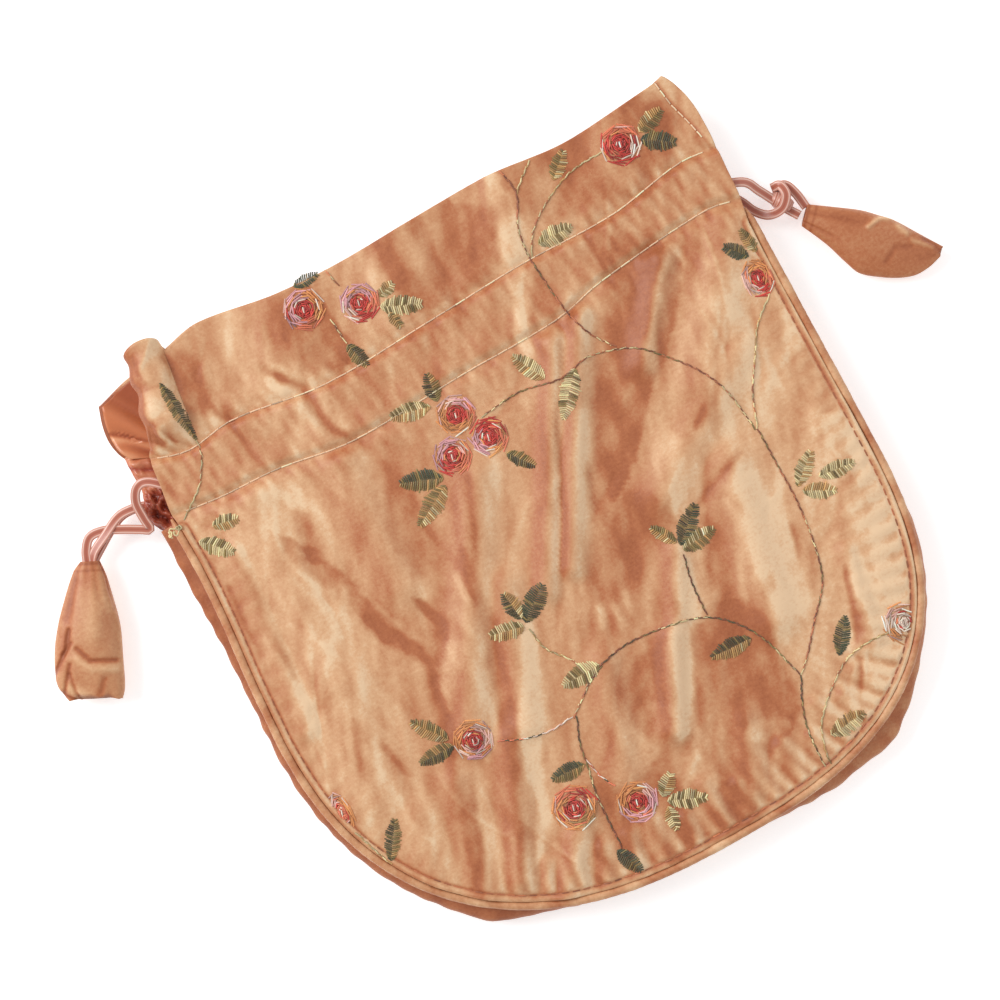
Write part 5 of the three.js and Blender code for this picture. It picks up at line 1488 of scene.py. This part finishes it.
# %% Leaves
# Each leaf: base, tip, widest half width, and the colours of its left and right halves.
LEAVES = [
    ((-64.5, 78), (-63.6, 62), 1.3, "dark", "olive"), ((-26, 83), (-19, 83), 1.4, "green", "green"),
    ((-10, 69), (0, 64.5), 2.1, "cream", "cream"), ((-9, 71), (-4, 72.5), 1.4, "gold", "cream"),
    ((-8.5, 67), (-7.5, 62), 1.2, "olive", "gold"), ((-21, 65), (-19, 57.5), 1.6, "dark", "olive"),
    ((-10, 42), (-20.5, 44.5), 2.0, "gold", "cream"), ((-8.5, 42), (-7.5, 49.5), 1.7, "dark", "olive"),
    ((-15.5, 25.5), (-26, 29.5), 2.3, "olive", "green"), ((-16, 24), (-26.5, 18), 2.2, "gold", "olive"),
    ((0, 24), (5, 17.5), 1.5, "olive", "dark"), ((17, 34.5), (12.5, 43.5), 1.9, "gold", "cream"),
    ((24.5, 34), (16, 24), 2.1, "cream", "cream"), ((41, 75.5), (47, 81), 1.7, "olive", "gold"),
    ((30.5, 64), (40, 64), 2.1, "cream", "cream"), ((64, 74.5), (72, 69.5), 2.1, "green", "dark"),
    ((64.5, 76), (72.5, 78.5), 1.9, "gold", "olive"), ((74, 37), (69, 42.5), 1.6, "green", "dark"),
    ((76, 37), (74.8, 44), 1.3, "gold", "olive"), ((-70.5, 42), (-63.5, 40.5), 1.8, "cream", "gold"),
    ((-75, 40.5), (-68, 33.5), 1.9, "cream", "cream"), ((-15.5, -14.5), (-7, -8), 2.3, "green", "dark"),
    ((-15.5, -15), (-24.5, -13), 2.0, "gold", "cream"), ((-15.5, -13.5), (-16.5, -5.5), 1.8, "dark", "gold"),
    ((-4, -31.5), (-14.5, -32), 2.3, "cream", "cream"), ((-44, -32), (-53.5, -32), 1.9, "dark", "olive"),
    ((-44.5, -30.5), (-51, -22), 1.9, "gold", "olive"), ((-71, -49.5), (-65, -40.5), 1.7, "dark", "olive"),
    ((-18.5, -51), (-27.5, -50.5), 1.9, "olive", "green"), ((-6, -68), (3.5, -72), 2.0, "cream", "cream"),
    ((-6.5, -67), (-1.5, -62.5), 1.8, "cream", "gold"), ((-6, -69), (-7, -75.5), 1.5, "cream", "gold"),
    ((-22, -72.5), (-19, -80), 1.8, "green", "dark"), ((26, -16), (34.5, -8.5), 2.0, "dark", "green"),
    ((26, -15), (22, -8.5), 1.4, "gold", "olive"), ((26, -17), (35.5, -16), 2.1, "cream", "olive"),
    ((31, -43.5), (20, -43), 2.1, "gold", "dark"), ((57.5, -17), (65, -10.5), 1.8, "cream", "gold"),
    ((58, -18), (65.5, -22), 1.8, "gold", "cream"), ((63, -17), (72.5, -18), 1.8, "cream", "cream"),
    ((47, -57.5), (53, -49.5), 1.7, "dark", "green"), ((36, -73), (46, -72), 2.2, "gold", "cream"),
]
LEAF_PITCH = 0.5
LEAF_FLECK_SHARE = 0.28
LEAF_FLECKS = {"dark": "olive", "green": "olive", "olive": "gold", "gold": "cream", "cream": "olive"}


def leaf(threads, base, tip, width, left, right):
    """Slanted stitches from the midrib to either rim."""
    base, tip = np.array(base, float), np.array(tip, float)
    length = np.linalg.norm(tip - base)
    along = (tip - base) / length
    across = np.array([-along[1], along[0]])
    for k in range(1, int(length / LEAF_PITCH)):
        share = k * LEAF_PITCH / length
        half = 1.12 * width * math.sin(math.pi * share**0.85) ** 0.7 * (1 + 0.08 * thread_draw.normal())
        spot = base + along * (share * length)
        for sign, dye in ((1, left), (-1, right)):
            if thread_draw.random() < LEAF_FLECK_SHARE:
                dye = LEAF_FLECKS[dye]
            rim = spot + across * (half * sign) + along * 0.55
            threads.stitch(spot - across * (0.15 * sign), rim, dye, 0.2, 0.04)


# %% Vines
# Each vine: its points and the name of its set of colours, which change along it.
VINES = [
    ([(31, 84), (32, 77), (28.5, 70), (27.5, 63), (28, 55), (29, 47), (31, 40), (35.5, 33.5)], "mixed"),
    ([(39, 83), (34, 79), (32, 77)], "pale"),
    ([(55, 76), (50, 76), (44, 75), (36, 71), (31, 67), (28, 62)], "pale"),
    ([(-1, 34), (10, 35), (20, 33), (28, 34.5), (35, 33), (40, 30.5), (46, 24.5), (51, 17.5), (54, 10), (55.5, 0)],
     "mixed"),
    ([(74, 27), (68, 22), (64, 16), (59, 8), (56, 0)], "pale"),
    ([(56, 0), (56, -10), (56, -20), (54.5, -32), (52, -40), (46, -47), (41, -53), (37, -57)], "mixed"),
    ([(-5, -32), (3, -30.5), (12, -31), (20, -32.5), (26, -35.5), (31, -41), (34, -47), (36, -54), (37, -57)],
     "dark"),
    ([(37, -57), (34, -63), (32, -70), (31.5, -79)], "dark"),
    ([(26, -18), (24.5, -25), (24, -33.5)], "dark"),
    ([(61, -58), (55, -57.5), (48, -59), (41, -64), (36, -69), (33.5, -75), (33, -79)], "pale"),
    ([(-15, -16), (-14, -22), (-10, -27), (-8.5, -30)], "pale"),
    ([(-16, -40), (-12, -37), (-8, -34), (-4, -32)], "mixed"),
    ([(-34.5, -36), (-28, -38.8), (-22, -40), (-16, -39.5)], "pink"),
    ([(-15, -40), (-17.5, -46), (-18.5, -52), (-20, -60), (-20.5, -73)], "dark"),
    ([(-18, -50), (-17, -55), (-15, -59)], "pink"),
    ([(-75, -39), (-73, -45), (-71, -50)], "pale"),
    ([(-17, 83), (-16, 78)], "pale"), ([(-21.5, 72), (-21, 65)], "dark"),
    ([(-63.6, 62), (-64.2, 58), (-66, 55), (-69, 51), (-75.5, 46.5)], "pale"),
]
VINE_DYES = {
    "mixed": ["brown", "rust", "cream", "brown", "olive", "rust"],
    "dark": ["dark", "brown", "olive", "cream", "brown"],
    "pale": ["cream", "gold", "cream", "rust", "cream"], "pink": ["pink", "white", "coral", "dark", "white"],
}
VINE_STITCH = 2.6
VINE_PITCH = 1.15
VINE_SWAY = 0.15


def vine(threads, points, kind):
    """Overlapping stitches along a smooth line."""
    length = lengths_along(np.array(points, float))[-1]
    line = smooth_line([(*p, 0) for p in points], max(4, round(length / VINE_PITCH)))[:, :2]
    out = outward_of(line)
    dyes = VINE_DYES[kind]
    start = int(thread_draw.integers(len(dyes)))
    for k in range(len(line) - 2):
        sway = VINE_SWAY * (1 if k % 2 else -1)
        far = min(k + round(VINE_STITCH / VINE_PITCH), len(line) - 1)
        dye = dyes[(start + k // 5 + (k % 2)) % len(dyes)]
        threads.stitch(line[k] - out[k] * sway, line[far] + out[far] * sway, dye, 0.16, 0.06)


embroidery, vines = Threads(), Threads()
for each in ROSES:
    rose(embroidery, *each)
for each in LEAVES:
    leaf(embroidery, *each)
for each in VINES:
    vine(vines, *each)
print("embroidery:", len(embroidery.plans), "stitches and", len(vines.plans), "in the vines")

# %% Sewing stitches
SEAM_STITCH_STEPS = 400
SEAM_STITCH_INSET = 1.5
sewing = Threads()


def running_stitches(points, pitch, length, dye, arch=0.1, base=0.1):
    """Even stitches of a length along a line, one at each pitch."""
    along = lengths_along(points)
    for k in range(int(along[-1] / pitch)):
        start, end = k * pitch, k * pitch + length
        ends = [[np.interp(at, along, points[:, axis]) for axis in (0, 1)] for at in (start, end)]
        sewing.stitch(ends[0], ends[1], dye, arch, base)


row_x = np.linspace(-74, 78, 300)
for stitch_row in (upper_stitch, lower_stitch):
    running_stitches(np.stack([row_x, stitch_row(row_x)], -1), 2.8, 2.65, "peach")
running_stitches(np.array([(73.8, 84.6), *HEM[1:3], (78, 66)]), 2.2, 1.8, "peach")
stitch_line = seam_line(SEAM_STITCH_STEPS)
seam_stitches = (stitch_line - outward_of(stitch_line) * SEAM_STITCH_INSET)[2:-2]
running_stitches(seam_stitches, 2.6, 1.7, "rust", 0.06, 0.0)
LOOSE_THREADS = 4
for _ in range(LOOSE_THREADS):
    start = thread_draw.uniform((-79.8, 43.8), (-78.2, 45.4))
    turns = np.cumsum(thread_draw.normal(0.35, 0.45, 26)) + thread_draw.uniform(0, 6)
    sewing.add(start + np.cumsum(0.2 * np.stack([np.cos(turns), np.sin(turns)], -1), 0), "cream", 0.5, 0.3)
print("sewing:", len(sewing.plans), "stitches")


# %% Threads from lines
def thread_group():
    """Gives lines a round thread: each point is moved a little, and a circle is swept along each line."""
    group, start, end = node_group(
        "thread", "GeometryNodeTree",
        [
            ("Lines", "NodeSocketGeometry", None), ("Thread radius", "NodeSocketFloat", 0.00022),
            ("Sides", "NodeSocketInt", 6), ("Unevenness", "NodeSocketFloat", 0.00004),
            ("Seed", "NodeSocketInt", 7), ("Finish", "NodeSocketMaterial", None),
        ],
        [("Threads", "NodeSocketGeometry")],
    )
    given = start.outputs
    low, high = (
        node(group, "ShaderNodeVectorMath", {0: corner, "Scale": given["Unevenness"]}, operation="SCALE").outputs[0]
        for corner in ((-1, -1, -1), (1, 1, 1))
    )
    jitter = node(group, "FunctionNodeRandomValue", {0: low, 1: high, "Seed": given["Seed"]}, data_type="FLOAT_VECTOR")
    moved = node(group, "GeometryNodeSetPosition", {"Geometry": given["Lines"], "Offset": jitter.outputs[0]})
    curves = node(group, "GeometryNodeMeshToCurve", {"Mesh": moved.outputs[0]})
    section = node(group, "GeometryNodeCurvePrimitiveCircle",
                   {"Resolution": given["Sides"], "Radius": given["Thread radius"]})
    round_thread = node(group, "GeometryNodeCurveToMesh", {
        "Curve": curves.outputs[0], "Profile Curve": section.outputs[0], "Fill Caps": True,
    })
    smooth = node(group, "GeometryNodeSetShadeSmooth", {"Geometry": round_thread.outputs[0]})
    real = node(group, "GeometryNodeRealizeInstances", {"Geometry": smooth.outputs[0]})
    finish = node(group, "GeometryNodeSetMaterial", {"Geometry": real.outputs[0], "Material": given["Finish"]})
    group.links.new(finish.outputs[0], end.inputs["Threads"])
    return group


def turned_to_mesh(obj, group, settings):
    """Runs a node group on an object and keeps the mesh that it makes."""
    modifier = obj.modifiers.new("nodes", "NODES")
    modifier.node_group = group
    for title, value in settings.items():
        modifier[group.interface.items_tree[title].identifier] = value
    bpy.context.view_layer.update()
    made = bpy.data.meshes.new_from_object(obj.evaluated_get(bpy.context.evaluated_depsgraph_get()))
    obj.modifiers.remove(modifier)
    obj.data = made


front_tree = BVHTree.FromObject(front_panel, bpy.context.evaluated_depsgraph_get())
ABOVE_ALL = 40.0


def silk_top(flat):
    """Height of the front silk's upper face at plan points, found by looking straight down on it."""
    starts = metres(np.column_stack([flat, np.full(len(flat), ABOVE_ALL)]))
    hits = [front_tree.ray_cast(Vector(start), Vector((0, 0, -1)))[0] for start in starts]
    return np.array([FRONT_Z + SILK if hit is None else hit.z / MM for hit in hits])


THREAD_SIDES = 6
THREAD_UNEVENNESS = 0.03


def thread_object(name, threads, radius, seed, finish, sink):
    """All lines of a set of threads, laid on the silk and made round."""
    points, counts, dyes = threads.lines(silk_top, sink)
    edges, at = [], 0
    for count in counts:
        edges += [(at + k, at + k + 1) for k in range(count - 1)]
        at += count
    mesh = bpy.data.meshes.new(name)
    mesh.from_pydata(metres(points).tolist(), edges, [])
    colours = np.concatenate([np.tile([*srgb(*dye), 1.0], (count, 1)) for dye, count in zip(dyes, counts)])
    mesh.attributes.new("dye", "FLOAT_COLOR", "POINT").data.foreach_set("color", colours.astype(np.float32).ravel())
    obj = placed(name, mesh)
    turned_to_mesh(obj, threads_from_lines, {
        "Thread radius": radius * MM, "Sides": THREAD_SIDES, "Unevenness": THREAD_UNEVENNESS * MM, "Seed": seed,
        "Finish": finish,
    })
    print(f"{name}: {len(obj.data.polygons)} faces")
    return obj


# %% [markdown]
# Finishes. The silk is woven from threads of two colours, so it looks terracotta from one side and pale gold from the
# other. "tone" on the points says which of the two shows, and it also carries painted light and shade: highlights and
# shade of the folds, creases, gathers and grooves, and painted shadow beside the roll and along the gusset. A node
# group
# makes the weave: fine ribs both ways, long slubs, a speckle as fine as the threads, and a slight cloudiness.

# %% Weave group
def weave_group():
    group, start, end = node_group(
        "weave", "ShaderNodeTree",
        [("Place", "NodeSocketVector", None), ("Thread", "NodeSocketFloat", 0.00028)],
        [("Cloud", "NodeSocketFloat"), ("Slub", "NodeSocketFloat"), ("Speckle", "NodeSocketFloat"),
         ("Relief", "NodeSocketFloat")],
    )
    place = start.outputs["Place"]
    stretch = node(group, "ShaderNodeMapping", {"Vector": place, "Scale": (420.0, 1500.0, 900.0)})
    slub = node(group, "ShaderNodeTexNoise", {"Vector": stretch.outputs[0], "Scale": 1.0, "Detail": 3.0})
    cloud = node(group, "ShaderNodeTexNoise", {"Vector": place, "Scale": 120.0, "Detail": 5.0, "Roughness": 0.6})
    speckle = node(group, "ShaderNodeTexNoise", {"Vector": place, "Scale": 1150.0, "Detail": 4.0, "Roughness": 0.7})
    rate = node(group, "ShaderNodeMath", {0: 1.0, 1: start.outputs["Thread"]}, operation="DIVIDE")
    fine = node(group, "ShaderNodeVectorMath", {0: place, "Scale": rate.outputs[0]}, operation="SCALE")
    weft, warp = (
        node(group, "ShaderNodeTexWave", {"Vector": fine.outputs[0], "Scale": 0.32, "Distortion": 1.0, "Detail": 2.0},
             bands_direction=direction).outputs["Fac"]
        for direction in "YX"
    )
    both = node(group, "ShaderNodeMath", {0: weft, 1: warp}, operation="MULTIPLY")
    grain = node(
        group, "ShaderNodeMath", {0: speckle.outputs["Fac"], 1: 1.6, 2: slub.outputs["Fac"]}, operation="MULTIPLY_ADD"
    )
    relief = node(group, "ShaderNodeMath", {0: both.outputs[0], 1: 0.5, 2: grain.outputs[0]}, operation="MULTIPLY_ADD")
    for title, noise in (("Cloud", cloud), ("Slub", slub), ("Speckle", speckle)):
        group.links.new(noise.outputs["Fac"], end.inputs[title])
    group.links.new(relief.outputs[0], end.inputs["Relief"])
    return group


weave = weave_group()


# %% [markdown]
# The silk finish: a ramp from deep terracotta to pale gold, moved along by the tone, the clouds, the slubs and the
# speckle. The shader is a glossy cloth, with sheen for the loose fibres at grazing angles. The linings have ramps of
# their own, the ribbon's colour goes by "across" and the threads' by "dye".

# %% Silk and satin
def ramp(tree, factor, stops):
    made = node(tree, "ShaderNodeValToRGB", {"Fac": factor})
    elements = made.color_ramp.elements
    while len(elements) < len(stops):
        elements.new(0.5)
    for element, (position, color) in zip(elements, stops):
        element.position = position
        element.color = (*color, 1.0)
    return made


def new_material(name, roughness, sheen):
    """A material with its roughness and sheen set: the material, its tree and its shader."""
    material = bpy.data.materials.new(name)
    material.use_nodes = True
    shader = material.node_tree.nodes["Principled BSDF"]
    shader.inputs["Roughness"].default_value = roughness
    shader.inputs["Sheen Weight"].default_value = sheen
    return material, material.node_tree, shader


def cloth_material(name, stops, roughness, sheen, bump, cloud=0.3, slub=0.12, speckle=0.5):
    material, tree, shader = new_material(name, roughness, sheen)
    place = node(tree, "ShaderNodeTexCoord").outputs["Object"]
    woven = node(tree, "ShaderNodeGroup", {"Place": place}, node_tree=weave)
    tone = node(tree, "ShaderNodeAttribute", {}, attribute_name="tone").outputs["Fac"]
    for pattern, strength in (("Cloud", cloud), ("Slub", slub), ("Speckle", speckle)):
        centred = node(tree, "ShaderNodeMath", {0: woven.outputs[pattern], 1: -0.5}, operation="ADD").outputs[0]
        tone = node(tree, "ShaderNodeMath", {0: centred, 1: strength, 2: tone}, operation="MULTIPLY_ADD").outputs[0]
    colour = ramp(tree, tone, stops)
    tree.links.new(colour.outputs["Color"], shader.inputs["Base Color"])
    relief = node(tree, "ShaderNodeBump", {"Height": woven.outputs["Relief"], "Strength": bump, "Distance": 0.0001})
    tree.links.new(relief.outputs["Normal"], shader.inputs["Normal"])
    shader.inputs["Sheen Roughness"].default_value = 0.4
    shader.inputs["Sheen Tint"].default_value = (1.0, 0.82, 0.68, 1.0)
    return material


SILK_STOPS = [
    (0.0, srgb(158, 84, 46)), (0.28, srgb(184, 110, 68)), (0.55, srgb(204, 145, 102)), (0.8, srgb(225, 176, 132)),
    (1.0, srgb(240, 204, 164)),
]
silk = cloth_material("shot_silk", SILK_STOPS, 0.46, 0.22, 0.4)
lining_satin = cloth_material(
    "lining_satin", [(0.0, srgb(168, 84, 48)), (0.5, srgb(206, 122, 78)), (1.0, srgb(232, 164, 120))],
    0.3, 0.15, 0.12, cloud=0.2, slub=0.05, speckle=0.12,
)
# A shaded copy of the lining satin, with deeper stops for the painted shadow at the mouth.
SHADED_MOUTH_STOPS = [
    (0.0, srgb(126, 46, 32)), (0.35, srgb(170, 76, 50)), (0.7, srgb(202, 122, 86)), (1.0, srgb(232, 172, 134)),
]
shaded_mouth_satin = cloth_material("shaded_mouth_satin", SHADED_MOUTH_STOPS, 0.32, 0.15, 0.15, cloud=0.25, slub=0.05, speckle=0.15)


def ribbon_material():
    material, tree, shader = new_material("ribbon_satin", 0.3, 0.3)
    across = node(tree, "ShaderNodeAttribute", {}, attribute_name="across").outputs["Fac"]
    edge = node(tree, "ShaderNodeMath", {0: across}, operation="ABSOLUTE")
    # Paler near both edges, a painted highlight, and darker in the middle, painted shade.
    colour = ramp(tree, edge.outputs[0], [
        (0.0, srgb(170, 92, 72)), (0.45, srgb(192, 118, 96)), (0.62, srgb(238, 202, 188)),
        (0.8, srgb(206, 142, 122)),
    ])
    tree.links.new(colour.outputs["Color"], shader.inputs["Base Color"])
    return material


ribbon_satin = ribbon_material()


def thread_material():
    material, tree, shader = new_material("silk_thread", 0.42, 0.2)
    dye = node(tree, "ShaderNodeAttribute", {}, attribute_name="dye").outputs["Color"]
    place = node(tree, "ShaderNodeTexCoord").outputs["Object"]
    fibres = node(tree, "ShaderNodeTexNoise", {"Vector": place, "Scale": 2600.0, "Detail": 2.0})
    shade = node(tree, "ShaderNodeMapRange", {"Value": fibres.outputs["Fac"], "To Min": 0.72, "To Max": 1.18})
    colour = node(tree, "ShaderNodeVectorMath", {0: dye, "Scale": shade.outputs[0]}, operation="SCALE")
    tree.links.new(colour.outputs[0], shader.inputs["Base Color"])
    return material


silk_thread = thread_material()
threads_from_lines = thread_group()
embroidery_threads = thread_object("embroidery_threads", embroidery, 0.19, 7, silk_thread, 0.06)
vine_threads = thread_object("vine_threads", vines, 0.17, 9, silk_thread, 0.04)
sewing_threads = thread_object("sewing_threads", sewing, 0.19, 8, silk_thread, 0.03)
for threads in (embroidery_threads, vine_threads, sewing_threads):
    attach(threads, "pouch")

# %% [markdown]
# Each piece takes its finish, rides on the body that carries it, and stands for the plain solid of the model.

# %% Bodies and finishes
def dress(obj, material, body, slot, *nodes):
    obj.data.materials.clear()
    obj.data.materials.append(material)
    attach(obj, body)
    if nodes:
        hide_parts(*nodes)


dress(front_panel, silk, "pouch", "silk", "front_panel")
dress(back_panel, silk, "pouch", "silk", "back_panel")
dress(front_lining, lining_satin, "pouch", "lining", "front_lining")
dress(back_lining, lining_satin, "pouch", "lining", "back_lining")
dress(back_tuck, shaded_mouth_satin, "pouch", "lining")
dress(gusset, silk, "pouch", "silk", "gusset")
dress(gusset_lining, lining_satin, "pouch", "lining", "gusset_lining")
dress(front_piping, silk, "pouch", "piping", "front_piping")
dress(back_piping, silk, "pouch", "piping", "back_piping")
for side in SIDES:
    cord_body = f"{side}_cord"
    dress(ribbons[side, "front"], ribbon_satin, cord_body, "ribbon", f"{side}_drawstring")
    dress(ribbons[side, "back"], ribbon_satin, cord_body, "ribbon")
    dress(knots[side], ribbon_satin, cord_body, "ribbon")
    dress(tails[side], ribbon_satin, cord_body, "ribbon")
    dress(bends[side], ribbon_satin, "pouch", "ribbon", f"{side}_drawstring_bend")
    dress(pods[side], silk, cord_body, "pod", f"{side}_pod")

# %% [markdown]
# The cloths are cut flat before they are sewn.

# %% [markdown]
# The studio: a pale table, one large soft light from the upper left, a weaker one from the right and a pale sky.

# %% Table and light
TABLE_REACH = 3.0
TABLE_DROP = 0.0002


def stage_and_lights():
    floor_mesh = bpy.data.meshes.new("table")
    corners = [(x * TABLE_REACH, y * TABLE_REACH, 0) for x, y in ((-1, -1), (1, -1), (1, 1), (-1, 1))]
    floor_mesh.from_pydata(corners, [], [(0, 1, 2, 3)])
    floor = placed("table", floor_mesh)
    floor.location.z = -TABLE_DROP
    paper, _, shader = new_material("table_paper", 0.9, 0.0)
    shader.inputs["Base Color"].default_value = (0.9, 0.9, 0.9, 1)
    shader.inputs["Emission Color"].default_value = (1, 1, 1, 1)
    shader.inputs["Emission Strength"].default_value = 0.45
    floor_mesh.materials.append(paper)
    for name, place, size, watts in (
        ("key", (-0.65, 0.75, 0.75), 0.7, 11.0),
        ("fill", (0.9, -0.1, 0.9), 1.0, 3.0),
    ):
        light = bpy.data.lights.new(name, "AREA")
        light.shape = "SQUARE"
        light.size = size
        light.energy = watts
        lamp = placed(name, light)
        lamp.location = place
        lamp.rotation_euler = (Vector((0, 0, 0)) - Vector(place)).to_track_quat("-Z", "Y").to_euler()
    world = bpy.data.worlds.new("studio")
    world.use_nodes = True
    world.node_tree.nodes["Background"].inputs["Color"].default_value = (1, 1, 1, 1)
    world.node_tree.nodes["Background"].inputs["Strength"].default_value = 0.5
    bpy.context.scene.world = world


stage_and_lights()
